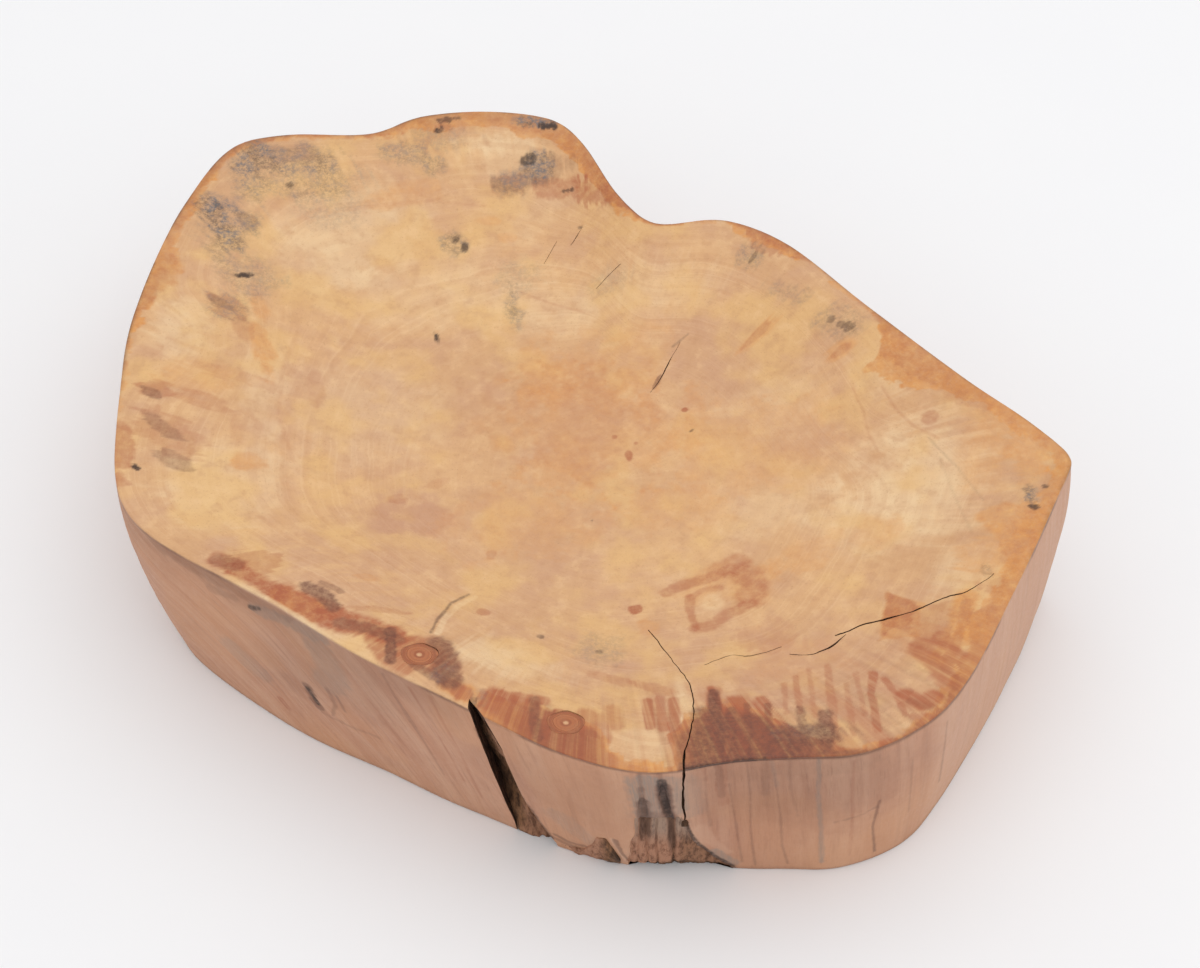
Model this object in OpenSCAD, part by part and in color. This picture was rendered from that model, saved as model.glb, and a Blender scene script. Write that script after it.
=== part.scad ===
// Live-edge dish bowl, carved in one piece from an end-grain slab of a small tree trunk.
// Z is up. The flat foot lies on z = 0, and the origin is the foot's middle.
// The body is one solid of wood. Bark and knots that grew into it are separate solids,
// each in its own recess in the wood.

/* [Body] */
// Overall length along X, at the rim
bowl_l = 300; // [240:1:360]
// Height of the rim above the foot
bowl_h = 64; // [56:1:80]
// Depth of the basin at its middle, below the rim
basin_d = 20; // [14:1:28]
// Fall of the shelf between rim and basin, in mm per mm of width
shelf_slope = 0.12; // [0.05:0.01:0.15]
// Fullness of the basin's curve, higher is flatter in the middle
basin_power = 3; // [2:0.1:5]

/* [Fissure between two lobes] */
// Width of the fissure's mouth at the foot
fissure_w = 10; // [6:0.5:12]
// Width of the fissure's mouth at the rim
fissure_top_w = 2.5; // [1:0.1:4]
// Depth of the fissure into the wood at the foot
fissure_d = 26; // [15:1:30]
// Depth of the fissure into the wood at the rim
fissure_top_d = 6; // [3:0.5:9]
// Share of the fissure's width that is filled with bark
fissure_fill = 0.5; // [0.3:0.05:0.7]

/* [Bark pocket at the foot] */
// Width of the pocket at the foot
pocket_w = 31; // [26:1:32]
// Height of the pocket's tip above the foot
pocket_h = 50; // [40:1:52]
// Depth of the pocket into the wood at the foot
pocket_d = 10; // [7:0.5:14]
// Number of bark ribs that stand in the pocket
rib_count = 5; // [3:1:6]
// Radius of a rib at its root
rib_r = 3.6; // [3:0.1:4.5]

/* [Bark seam] */
// Width of the seam
seam_w = 1.4; // [1:0.1:2]
// Depth of the seam into the wood at the rim
seam_d = 14; // [8:1:18]
// How far seam, fissure and pocket bark lie below the wood's surface
bark_recess = 1.2; // [0.6:0.1:2]

/* [Knots] */
// Radius of a knot at the surface
knot_r = 5; // [4:0.5:6]
// Depth of a knot into the wood
knot_d = 22; // [14:1:26]
// Lean of a knot's axis away from vertical, in degrees
knot_lean = 18; // [0:1:25]

/* [Hidden] */

// The rim's outline, anticlockwise from the sharp corner at +X, for a bowl 300 long.
// Each point is x, y, how far the foot lies inside the rim there, the shelf's width, and how
// far the side wall swells out half way down.
design_l = 300;
k = bowl_l / design_l;
outline = [
    [149.9, -26.5, 2, 14, 3],
    [149, -23.2, 2, 14, 3],
    [139.1, -10.1, 3, 12, 1.5],
    [122.2, 7.5, 4, 10, 1.5],
    [93.2, 41.6, 5, 10, 1.5],
    [65, 75, 6, 10, 1.5],
    [46, 84.8, 6, 8, 1.5],
    [23, 83.4, 6, 8, 1.5],
    [11.8, 96, 6, 10, 1.5],
    [-2.8, 127.3, 6, 12, 1.5],
    [-12, 138, 6, 14, 1.5],
    [-34, 143, 6, 14, 1.5],
    [-60, 140, 6, 14, 1.5],
    [-76, 131, 6, 14, 1.5],
    [-108, 129.8, 7, 18, 1.5],
    [-124, 124, 8, 20, 1.5],
    [-138, 94, 9, 24, 1.5],
    [-148.5, 38, 9, 40, 2],
    [-148, 4, 10.5, 40, 3.5],
    [-143, -38, 11, 38, 4],
    [-134, -54, 7, 34, 2.5],
    [-90, -84, 0.8, 22, 1.5],
    [-66, -101.5, 5, 14, 1.5],
    [-33, -121, 5.8, 12, 1.5],
    [-5, -137, 9.5, 12, 1.5],
    [18, -143, 11, 12, 1.5],
    [42, -139, 5.5, 12, 1.5],
    [60, -137.8, 4, 12, 1.5],
    [77, -136.2, 3.5, 12, 1.5],
    [97, -125.3, 1.5, 12, 1.5],
    [108, -112.5, 2, 12, 1.5],
    [122.5, -85.8, 0.5, 12, 1.5],
    [141, -47.3, -0.5, 12, 2.5]
];
basin_centre = [0, -12] * k;
basin_rings = [0.15, 0.35, 0.55, 0.7, 0.82, 0.92, 1];
wall_rings = [0, 0.25, 0.5, 0.75, 1];
column_step = 7.6 * k;

// Places of the bark and the knots in plan, measured on the wood's surface
fissure_top = [-31.5, -121.5] * k;
fissure_foot = [-15, -121.5] * k;
fissure_dir = 106;
fissure_bark_h = 0.9 * bowl_h;
pocket_left_x = 13 * k;
pocket_foot_y = -131.5 * k;
pocket_tip = [21 * k, -141.5 * k, pocket_h];
pocket_elbow = [28 * k, -137.5 * k, 33];
pocket_elbow_d = 4.5;
flake_at = [5 * k, -129 * k, 4];
flake_r = 3;
flake_d = 3;
flake_rise = 11;
seam_top_x = 27 * k;
seam_y = -143 * k;
rim_knot_at = [-5, -124] * k;
left_knot_at = [-47, -100] * k;
// How far a cut starts outside the wood, and the thickness of a hull's end slices
outside = 5;
slice = 0.01;

// Closed spline through the outline. span() is a stretch's parameter length: the root of
// its chord keeps tight corners from overshooting.
count = len(outline);
function at(i) = k * outline[(i + count) % count];
function chord(i) = norm([at(i + 1).x - at(i).x, at(i + 1).y - at(i).y]);
function span(i) = sqrt(chord(i));
function tangent(i) =
    (at(i) - at(i - 1)) / span(i - 1)
    - (at(i + 1) - at(i - 1)) / (span(i - 1) + span(i))
    + (at(i + 1) - at(i)) / span(i);
function between(i, t) =
    (2 * t ^ 3 - 3 * t ^ 2 + 1) * at(i)
    + (t ^ 3 - 2 * t ^ 2 + t) * span(i) * tangent(i)
    + (3 * t ^ 2 - 2 * t ^ 3) * at(i + 1)
    + (t ^ 3 - t ^ 2) * span(i) * tangent(i + 1);
columns = [
    for (i = [0 : count - 1])
        let (steps = ceil(chord(i) / column_step))
            for (s = [0 : steps - 1]) between(i, s / steps)
];
n = len(columns);

// Plan position of column c, and the rim's outward direction there
function plan(c) = [columns[c].x, columns[c].y];
function outward(c) =
    let (a = plan((c + n - 1) % n), b = plan((c + 1) % n), d = [b.y - a.y, a.x - b.x]) d / norm(d);

// A point of the basin: f = 0 at the middle, 1 at the edge where the shelf starts
function shelf_share(c) = columns[c][3] / norm(plan(c) - basin_centre);
function edge_drop(c) = shelf_slope * columns[c][3];
function basin_point(c, f) =
    let (p = basin_centre + f * (1 - shelf_share(c)) * (plan(c) - basin_centre))
        [p.x, p.y, bowl_h - basin_d + (basin_d - edge_drop(c)) * f ^ basin_power];

// A point of the side wall: u = 0 at the rim, 1 at the foot
function wall_point(c, u) =
    let (p = plan(c) + outward(c) * (columns[c][4] * sin(180 * u) - columns[c][2] * u))
        [p.x, p.y, bowl_h * (1 - u)];

// The whole block of wood, before anything is cut from it
module blank() {
    rings = [
        for (f = basin_rings) [for (c = [0 : n - 1]) basin_point(c, f)],
        for (u = wall_rings) [for (c = [0 : n - 1]) wall_point(c, u)]
    ];
    last = len(rings) - 1;
    middle = n * len(rings);
    points = concat(
        [for (ring = rings) each ring],
        [[basin_centre.x, basin_centre.y, bowl_h - basin_d], [basin_centre.x, basin_centre.y, 0]]
    );
    faces = [
        for (c = [0 : n - 1])
            let (d = (c + 1) % n) each concat(
                [[middle, d, c], [middle + 1, last * n + c, last * n + d]],
                [
                    for (r = [0 : last - 1]) each [
                        [r * n + c, r * n + d, (r + 1) * n + d],
                        [r * n + c, (r + 1) * n + d, (r + 1) * n + c]
                    ]
                ]
            )
    ];
    polyhedron(points, faces);
}

// The wood's volume, drawn back from the front wall by the bark's recess
module recessed_blank() {
    translate([0, bark_recess, 0]) blank();
}

// A V in plan that opens towards -X. share is the part of its width kept, from its right side.
module vee(width, depth, from, share) {
    taper = 1 - from / depth;
    linear_extrude(slice)
        polygon([[from, -width / 2 * taper], [depth, 0], [from, (share - 0.5) * width * taper]]);
}

// The fissure narrows and leans over from the foot to the rim
module fissure(from, share) {
    hull() {
        translate([fissure_foot.x, fissure_foot.y, -slice])
            rotate(fissure_dir) vee(fissure_w, fissure_d, from, share);
        translate([fissure_top.x, fissure_top.y, bowl_h])
            rotate(fissure_dir) vee(fissure_top_w, fissure_top_d, from, share);
    }
}

// One level of the pocket: x from left, cut to a depth behind the wall's surface at y
module pocket_level(left, width, y, depth, z) {
    translate([left, y - outside, z]) cube([width, depth + outside, slice]);
}

module pocket_elbow_level() {
    width = pocket_elbow.x - pocket_left_x;
    pocket_level(pocket_left_x, width, pocket_elbow.y, pocket_elbow_d, pocket_elbow.z);
}

// The pocket is wide at the foot. Its right side runs up to the seam's elbow, and it ends in a tip.
module pocket() {
    hull() {
        pocket_level(pocket_left_x, pocket_w, pocket_foot_y, pocket_d, -slice);
        pocket_elbow_level();
    }
    hull() {
        pocket_elbow_level();
        pocket_level(pocket_tip.x - 1, 2, pocket_tip.y, 0.5, pocket_tip.z);
    }
}

// A bark rib from a root at x on the foot towards the pocket's tip
module rib(x, reach) {
    root = [x, pocket_foot_y + pocket_d - rib_r / 2, -slice];
    run = pocket_tip - root;
    translate(root)
        rotate([0, atan2(norm([run.x, run.y]), run.z), atan2(run.y, run.x)])
            cylinder(h = reach * norm(run), r1 = rib_r, r2 = rib_r / 4, $fn = 24);
}

// A flake that lies in the foot's edge and leans up towards its right end
module flake() {
    translate(flake_at)
        rotate([90, 0, 0])
            hull() {
                translate([-flake_r, 0, -flake_d])
                    cylinder(h = flake_d + 2 * outside, r = flake_r, $fn = 24);
                translate([flake_rise / 5, flake_rise, -flake_d])
                    cylinder(h = flake_d + 2 * outside, r = 0.7 * flake_r, $fn = 24);
            }
}

// The seam runs from the rim down to the pocket's elbow, and in from the wall by its depth
module seam() {
    translate([0, seam_y + seam_d, 0])
        rotate([90, 0, 0])
            linear_extrude(seam_d + outside)
                polygon([
                    [seam_top_x - seam_w / 2, bowl_h + outside],
                    [pocket_elbow.x - seam_w / 2, pocket_elbow.z - 1],
                    [pocket_elbow.x + seam_w / 2, pocket_elbow.z - 1],
                    [seam_top_x + seam_w / 2, bowl_h + outside]
                ]);
}

// A knot tapers down into the wood, and leans towards the trunk's middle as it goes
module knot(place) {
    inward = basin_centre - place;
    translate([place.x, place.y, bowl_h])
        rotate([0, 180 - knot_lean, atan2(inward.y, inward.x)])
            translate([0, 0, -outside])
                cylinder(h = knot_d + outside, r1 = knot_r, r2 = 0.7 * knot_r, $fn = 48);
}

module bowl_body() {
    color("#D6AB7C")
        difference() {
            blank();
            fissure(-outside, 1);
            pocket();
            flake();
            seam();
            knot(rim_knot_at);
            knot(left_knot_at);
        }
}

module fissure_bark() {
    color("#4A3324")
        intersection() {
            fissure(bark_recess, fissure_fill);
            blank();
            translate([-bowl_l / 2, -bowl_l / 2, 0]) cube([bowl_l, bowl_l, fissure_bark_h]);
        }
}

module pocket_bark() {
    color("#6B4C36")
        intersection() {
            for (i = [0 : rib_count - 1])
                let (f = (i + 0.5) / rib_count)
                    rib(pocket_left_x + f * pocket_w, 0.95 - 0.6 * abs(f - 0.4));
            pocket();
            recessed_blank();
        }
}

module edge_bark_flake() {
    color("#7A5C42")
        intersection() {
            flake();
            blank();
        }
}

module seam_bark() {
    color("#3E2A1E")
        difference() {
            intersection() {
                seam();
                recessed_blank();
            }
            pocket();
        }
}

module rim_knot() {
    color("#B0623A")
        intersection() {
            knot(rim_knot_at);
            blank();
        }
}

module left_knot() {
    color("#A85C3C")
        intersection() {
            knot(left_knot_at);
            blank();
        }
}

bowl_body();
fissure_bark();
pocket_bark();
edge_bark_flake();
seam_bark();
rim_knot();
left_knot();
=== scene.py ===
"""Looks for a live-edge bowl carved from an end-grain slab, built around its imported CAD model.

Shapes are worked out in millimetres in the model's own frame, and become metres as each mesh is made.
"""

import math

import bpy
import numpy as np
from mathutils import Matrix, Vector
from mathutils.bvhtree import BVHTree


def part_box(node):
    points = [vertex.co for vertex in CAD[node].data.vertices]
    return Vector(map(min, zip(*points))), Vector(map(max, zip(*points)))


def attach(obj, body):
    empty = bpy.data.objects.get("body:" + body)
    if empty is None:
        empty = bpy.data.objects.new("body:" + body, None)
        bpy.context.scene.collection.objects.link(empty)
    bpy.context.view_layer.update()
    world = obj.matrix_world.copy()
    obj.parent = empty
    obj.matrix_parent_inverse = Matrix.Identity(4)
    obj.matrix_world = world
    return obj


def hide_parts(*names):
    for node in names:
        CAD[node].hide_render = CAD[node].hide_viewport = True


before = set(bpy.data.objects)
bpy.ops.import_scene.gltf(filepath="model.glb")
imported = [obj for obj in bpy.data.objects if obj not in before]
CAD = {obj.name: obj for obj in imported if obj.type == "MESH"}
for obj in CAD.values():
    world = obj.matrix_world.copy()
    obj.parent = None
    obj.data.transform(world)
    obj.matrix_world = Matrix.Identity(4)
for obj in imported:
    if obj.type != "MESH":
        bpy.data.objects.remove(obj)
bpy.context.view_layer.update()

MM = 0.001
GRID = 512  # cells along each side of the top's square grid
WALL_STEP = 0.62  # height of a row of wall faces

# ---------------------------------------------------------------- noise and small maths


def smooth(low, high, x):
    """0 at low, 1 at high, with a soft step between. low may be the larger one."""
    t = np.clip((x - low) / (high - low), 0.0, 1.0)
    return t * t * (3 - 2 * t)


def bell(value, middle, reach):
    """1 where a value is at the middle, falling off in a bell."""
    return np.exp(-((value - middle) / reach) ** 2)


def lattice(ix, iy, iz, seed):
    """A fixed random number from -1 to 1 for each whole-number point."""
    h = (ix * 374761393 + iy * 668265263 + iz * 1440662683 + seed * 1274126177) & 0xFFFFFFFF
    with np.errstate(over="ignore"):  # only the low bits count
        h = ((h ^ (h >> 13)) * 1103515245) & 0xFFFFFFFF
        h = ((h ^ (h >> 15)) * 2246822519) & 0xFFFFFFFF
    return ((h ^ (h >> 16)) & 0xFFFFFF) / float(0x7FFFFF) - 1.0


def value_noise(p, seed):
    """Smooth noise from -1 to 1 at points p, one cell to a unit."""
    cell = np.floor(p)
    f = p - cell
    f = f * f * f * (f * (f * 6 - 15) + 10)
    i, j, k = np.moveaxis(cell.astype(np.int64), -1, 0)
    u, v, w = np.moveaxis(f, -1, 0)
    total = 0.0
    for a in (0, 1):
        for b in (0, 1):
            for c in (0, 1):
                weight = (u if a else 1 - u) * (v if b else 1 - v) * (w if c else 1 - w)
                total = total + weight * lattice(i + a, j + b, k + c, seed)
    return total


def fbm(p, size, octaves=3, seed=0, stretch=(1, 1, 1)):
    """Layered noise, about -1 to 1. size is the largest feature's size in mm."""
    p = np.asarray(p, float) / (size * np.asarray(stretch, float))
    total, gain, norm = 0.0, 1.0, 0.0
    for octave in range(octaves):
        total = total + gain * value_noise(p * 2.03 ** octave + 17.3 * octave, seed + octave)
        norm += gain
        gain *= 0.5
    return total / norm * 1.5


def xyz(x, y=0.0, z=0.0):
    """Points from their coordinates, each of them an array or a single number."""
    return np.stack(np.broadcast_arrays(x, y, z), -1)


def cubic(t, p0, p1, p2, p3):
    """The value at t, 0 to 1, of the Catmull-Rom curve from p1 to p2."""
    squared = 2 * p0 - 5 * p1 + 4 * p2 - p3
    cubed = 3 * p1 - p0 - 3 * p2 + p3
    return 0.5 * (2 * p1 + (p2 - p0) * t + squared * t ** 2 + cubed * t ** 3)


def along(points, step):
    """A smooth open curve through plan points, resampled about every step mm."""
    p = np.asarray(points, float)
    p = np.vstack([2 * p[0] - p[1], p, 2 * p[-1] - p[-2]])
    out = []
    for i in range(1, len(p) - 2):
        count = max(1, int(math.ceil(np.linalg.norm(p[i + 1] - p[i]) / step)))
        out.append(cubic((np.arange(count) / count)[:, None], *p[i - 1:i + 3]))
    out.append(p[-2:-1])
    return np.vstack(out)


def path_normal(path):
    """Unit vectors in plan that point to the left of a path."""
    tangent = np.gradient(path, axis=0)
    tangent /= np.linalg.norm(tangent, axis=1)[:, None]
    return np.stack([-tangent[:, 1], tangent[:, 0]], 1)


def path_distance(x, y, path):
    """Distance in plan from each point to a polyline."""
    best = np.full(np.shape(x), np.inf)
    for (ax, ay), (bx, by) in zip(path[:-1], path[1:]):
        dx, dy = bx - ax, by - ay
        t = np.clip(((x - ax) * dx + (y - ay) * dy) / (dx * dx + dy * dy), 0, 1)
        best = np.minimum(best, np.hypot(x - ax - t * dx, y - ay - t * dy))
    return best


def periodic(angles, values, at):
    """A smooth closed curve of values over angle, through the given points."""
    order = np.argsort(angles)
    a, v = angles[order], values[order]
    keep = np.concatenate([[True], np.diff(a) > 1e-3])
    a, v = a[keep], v[keep]
    a = np.concatenate([a[-3:] - 2 * math.pi, a, a[:3] + 2 * math.pi])
    v = np.concatenate([v[-3:], v, v[:3]])
    h = np.diff(a)
    d = np.diff(v) / h
    m = np.zeros_like(v)
    m[1:-1] = (d[:-1] * h[1:] + d[1:] * h[:-1]) / (h[:-1] + h[1:])
    i = np.clip(np.searchsorted(a, at) - 1, 1, len(a) - 3)
    t = (at - a[i]) / h[i]
    ease = (3 - 2 * t) * t ** 2
    start, end = t * (1 - t) ** 2, (t - 1) * t ** 2
    return (1 - ease) * v[i] + ease * v[i + 1] + h[i] * (start * m[i] + end * m[i + 1])


# ---------------------------------------------------------------- what the CAD model says

BOXES = {name: np.array([list(corner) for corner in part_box(name)]) / MM for name in CAD}
TOP = BOXES["bowl_body"][1][2]
CENTRE = np.array([0.0, -12.0])  # the basin's middle, which the rim's rays start from
WALL_LEVELS = TOP * np.array([1, 0.75, 0.5, 0.25, 0])  # heights at which the CAD wall has points
SHELF_SLOPE = 0.12
RING_THETA = np.linspace(-math.pi, math.pi, 1441)
CAD_POINTS = np.array([v.co for v in CAD["bowl_body"].data.vertices]) / MM

# Places in mm on the bowl for features that the CAD model has too
FISSURE_TOP = np.array([-31.5, -121.5])
FISSURE_FOOT = np.array([-15.0, -121.5])
FISSURE_DIR = math.radians(106)
FISSURE_WIDTH = (10.5, 2.4)  # at the foot, and at the rim
FISSURE_DEPTH = (26.0, 3.6)
SEAM_ELBOW_Z = 33.0
# How far round each cut the CAD wall's points are not taken as wall
CUT_MARGINS = {"fissure_bark": 7, "pocket_bark": 2, "edge_bark_flake": 2, "seam_bark": 2}


def polar(x, y):
    return np.arctan2(y - CENTRE[1], x - CENTRE[0]), np.hypot(x - CENTRE[0], y - CENTRE[1])


def from_polar(theta, radius):
    return CENTRE[0] + radius * np.cos(theta), CENTRE[1] + radius * np.sin(theta)


def in_box(points, name, margin):
    low, high = BOXES[name][0][:2] - margin, BOXES[name][1][:2] + margin
    return np.all((points[:, :2] > low) & (points[:, :2] < high), axis=1)


def interp_ring(theta, at, values):
    return np.interp(theta, at, values, period=2 * math.pi)


def ring_at(level, at):
    """Radius of the wall at a height, over angle. Points that belong to a cut are left out."""
    p = CAD_POINTS[np.abs(CAD_POINTS[:, 2] - level) < 0.02]
    for name, margin in CUT_MARGINS.items():
        if BOXES[name][0][2] - 1 < level < BOXES[name][1][2] + 1:
            p = p[~in_box(p, name, margin)]
    p = p[np.hypot(p[:, 0] - FISSURE_TOP[0], p[:, 1] - FISSURE_TOP[1]) > 8]
    theta, radius = polar(p[:, 0], p[:, 1])
    if level == TOP:
        return periodic(theta, radius, at)
    inset = ring_at(TOP, theta) - radius
    keep = inset < 0.12 * radius
    theta, inset = theta[keep], inset[keep]
    order = np.argsort(theta)
    inset = interp_ring(RING_THETA, theta[order], inset[order])
    window = np.hanning(41) / np.hanning(41).sum()
    inset = np.convolve(np.concatenate([inset[-21:-1], inset, inset[1:21]]), window, "valid")
    return ring_at(TOP, at) - interp_ring(at, RING_THETA, inset)


CELL = 2.0  # spacing of the height grid
GRID_X = np.arange(-158, 159, CELL)
GRID_Y = np.arange(-152, 153, CELL)
FILL_PASSES = 300  # rounds of averaging that fill the sockets and cuts


def cad_heights():
    """The basin's height over a plan grid, with sockets and cuts filled from around them."""
    polygons = [tuple(f.vertices) for f in CAD["bowl_body"].data.polygons]
    tree = BVHTree.FromPolygons([tuple(p) for p in CAD_POINTS], polygons)
    z = np.full((len(GRID_Y), len(GRID_X)), TOP)
    down = Vector((0, 0, -1))
    for j, y in enumerate(GRID_Y):
        for i, x in enumerate(GRID_X):
            hit = tree.ray_cast(Vector((x, y, 2 * TOP)), down)[0]
            if hit is not None:
                z[j, i] = hit.z
    x, y = np.meshgrid(GRID_X, GRID_Y)
    plan = np.stack([x.ravel(), y.ravel()], 1)
    known = np.hypot(x - FISSURE_TOP[0], y - FISSURE_TOP[1]) > 9
    for name in ("rim_knot", "left_knot", "seam_bark"):
        known &= ~in_box(plan, name, 3.0).reshape(z.shape)
    z[~known] = TOP - 3
    for _ in range(FILL_PASSES):
        mean = (np.roll(z, 1, 0) + np.roll(z, -1, 0) + np.roll(z, 1, 1) + np.roll(z, -1, 1)) / 4
        z = np.where(known, z, mean)
    return z


def blur(a, sigma):
    k = np.exp(-0.5 * (np.arange(-9, 10) / sigma) ** 2)
    k /= k.sum()
    rows = np.apply_along_axis(np.convolve, 1, np.pad(a, 9, mode="edge"), k, "valid")
    return np.apply_along_axis(np.convolve, 0, rows, k, "valid")


def sample(grid, x, y):
    fx = np.clip((x - GRID_X[0]) / CELL, 0, len(GRID_X) - 1.001)
    fy = np.clip((y - GRID_Y[0]) / CELL, 0, len(GRID_Y) - 1.001)
    i, j = fx.astype(int), fy.astype(int)
    u, v = fx - i, fy - j
    low = grid[j, i] * (1 - u) + grid[j, i + 1] * u
    high = grid[j + 1, i] * (1 - u) + grid[j + 1, i + 1] * u
    return low * (1 - v) + high * v


BASIN = blur(cad_heights(), 2.2)
RINGS = np.stack([ring_at(level, RING_THETA) for level in WALL_LEVELS])
WALL_FIT = np.polyfit(WALL_LEVELS / TOP, RINGS, 3)
SLANT = 0.93  # distance square to the rim, per mm along a ray from the middle
TOP_GAP = 0.02  # keeps the surface just under the CAD model's box


def rim_radius(theta):
    return interp_ring(theta, RING_THETA, RINGS[0])


def wall_radius(theta, z):
    u = np.clip(z / TOP, 0, 1)
    return sum(interp_ring(theta, RING_THETA, c) * u ** (3 - i) for i, c in enumerate(WALL_FIT))


def rim_distance(theta, radius):
    """How far inside the rim, in plan."""
    return np.maximum(rim_radius(theta) - radius, 0) * SLANT


def top_height(x, y):
    """Height of the carved top, smooth, with the slow waves that hand carving leaves."""
    inside = rim_distance(*polar(x, y))
    shelf = TOP - SHELF_SLOPE * inside
    z = shelf + (sample(BASIN, x, y) - shelf) * smooth(1.5, 9, inside)
    waves = 0.7 * fbm(xyz(x, y), 62, 2, 3) + 0.25 * fbm(xyz(x, y), 19, 2, 8)
    return z + waves * smooth(3, 30, inside) - TOP_GAP


# ---------------------------------------------------------------- meshes


def make_mesh(name, points, faces, material_index=0):
    """A mesh from points in mm and a list of index arrays, each of quads or triangles."""
    mesh = bpy.data.meshes.new(name)
    loops = np.concatenate([f.ravel() for f in faces]).astype(np.int32)
    sizes = np.concatenate([np.full(len(f), f.shape[1]) for f in faces])
    starts = np.concatenate([[0], np.cumsum(sizes)[:-1]]).astype(np.int32)
    mesh.vertices.add(len(points))
    mesh.vertices.foreach_set("co", (np.asarray(points) * MM).astype(np.float32).ravel())
    mesh.loops.add(len(loops))
    mesh.loops.foreach_set("vertex_index", loops)
    mesh.polygons.add(len(sizes))
    mesh.polygons.foreach_set("loop_start", starts)
    mesh.polygons.foreach_set("material_index", np.full(len(sizes), material_index, np.int32))
    mesh.update(calc_edges=True)
    mesh.validate()
    return mesh


def make_object(name, mesh):
    obj = bpy.data.objects.new(name, mesh)
    bpy.context.scene.collection.objects.link(obj)
    return obj


def loft(name, loops, material_index=0):
    """A closed solid through loops, an array of sections by points by 3, with flat fans on its ends."""
    loops = np.asarray(loops, float)
    rows, n = loops.shape[:2]
    points = np.vstack([loops.reshape(-1, 3), loops[0].mean(0), loops[-1].mean(0)])
    index = np.arange(rows * n).reshape(rows, n)
    after = np.roll(index, -1, axis=1)
    quads = np.stack([index[:-1], after[:-1], after[1:], index[1:]], -1).reshape(-1, 4)
    first = np.stack([np.full(n, rows * n), after[0], index[0]], 1)
    last = np.stack([np.full(n, rows * n + 1), index[-1], after[-1]], 1)
    mesh = make_mesh(name, points, [quads, np.vstack([first, last])], material_index)
    if signed_volume(mesh) < 0:
        mesh.flip_normals()
    return mesh


def signed_volume(mesh):
    mesh.calc_loop_triangles()
    co = vertex_positions(mesh)
    tri = np.zeros(len(mesh.loop_triangles) * 3, np.int32)
    mesh.loop_triangles.foreach_get("vertices", tri)
    a, b, c = (co[tri[k::3]] for k in range(3))
    return float(np.einsum("ij,ij->i", a, np.cross(b, c)).sum())


def vertex_positions(mesh):
    """Positions in mm."""
    co = np.zeros(len(mesh.vertices) * 3, np.float32)
    mesh.vertices.foreach_get("co", co)
    return co.reshape(-1, 3).astype(float) / MM


def store(mesh, name, kind, values):
    """Writes a value per vertex for the materials to read. kind is VECTOR or COLOR."""
    attribute = mesh.attributes.new(name, "FLOAT_" + kind, "POINT")
    attribute.data.foreach_set(kind.lower(), values.astype(np.float32).ravel())


# The rounded rim edge: how far inside the wall and how far below the top each row lies
EDGE = [(0.34, 0.07), (0.1, 0.26), (0.0, 0.6)]
FOOT_INSET = 0.5
FOOT_SHARES = (0.985, 0.94, 0.8, 0.5)  # rings of the flat foot, as shares of its outline


def top_grid():
    """Points of the top and the angle of each, on a square grid drawn out to the rim."""
    a, b = np.meshgrid(np.linspace(-1, 1, GRID + 1), np.linspace(-1, 1, GRID + 1))
    wide = np.abs(a) > np.abs(b)
    share = np.maximum(np.abs(a), np.abs(b))
    main, other = np.where(wide, a, b), np.where(wide, b, a)
    ratio = np.divide(other, main, out=np.zeros_like(a), where=main != 0) * math.pi / 4
    theta = np.where(wide, ratio, math.pi / 2 - ratio) + np.where(main < 0, math.pi, 0)
    theta = (theta + math.pi) % (2 * math.pi) - math.pi
    x, y = from_polar(theta, share * (rim_radius(theta) - EDGE[0][0]))
    z = top_height(x, y) - np.where(share > 0.9999, EDGE[0][1], 0)
    return x, y, z, theta


def body_mesh():
    """The whole slab: the carved top, the rough wall and a flat foot."""
    x, y, z, theta = top_grid()
    n = GRID + 1
    index = np.arange(n * n).reshape(n, n)
    top_faces = np.stack([index[:-1, :-1], index[:-1, 1:], index[1:, 1:], index[1:, :-1]], -1).reshape(-1, 4)
    border = np.concatenate([index[0, :-1], index[:-1, -1], index[-1, :0:-1], index[:0:-1, 0]])
    border_theta = theta.ravel()[border]
    insets = {EDGE[1][1]: EDGE[1][0], TOP: FOOT_INSET}  # the rim's and the foot's rounding, by depth
    rows = []
    for depth in [d for _, d in EDGE[1:]] + list(np.arange(1.1, TOP - 0.9, WALL_STEP)) + [TOP - 0.5, TOP]:
        radius = wall_radius(border_theta, TOP - depth) - insets.get(depth, 0.0)
        rows.append(rough_wall(xyz(*from_polar(border_theta, radius), TOP - depth), border_theta))
    foot = rows[-1]
    for share in FOOT_SHARES:
        rows.append(np.column_stack([CENTRE + (foot[:, :2] - CENTRE) * share, foot[:, 2]]))
    m = len(border)
    points = np.vstack([xyz(x.ravel(), y.ravel(), z.ravel())] + rows + [[*CENTRE, 0.0]])
    rings = np.vstack([border] + [n * n + r * m + np.arange(m) for r in range(len(rows))])
    after = np.roll(rings, -1, axis=1)
    wall_faces = np.stack([rings[:-1], rings[1:], after[1:], after[:-1]], -1).reshape(-1, 4)
    hub = np.stack([rings[-1], np.full(m, len(points) - 1), after[-1]], 1)
    return make_mesh("bowl", points, [top_faces, wall_faces, hub])


# Sideways run of the wall's fibres per mm of fall, by angle in degrees
LEAN = np.array([
    (-180, 2.2), (-158, 2.5), (-140, 1.7), (-122, 0.95), (-106, 0.45), (-95, 0.3), (-80, 0.08), (-60, 0.12),
    (-30, 0.05), (0, 0), (60, -0.15), (120, 0.4), (180, 2.2),
])


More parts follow.
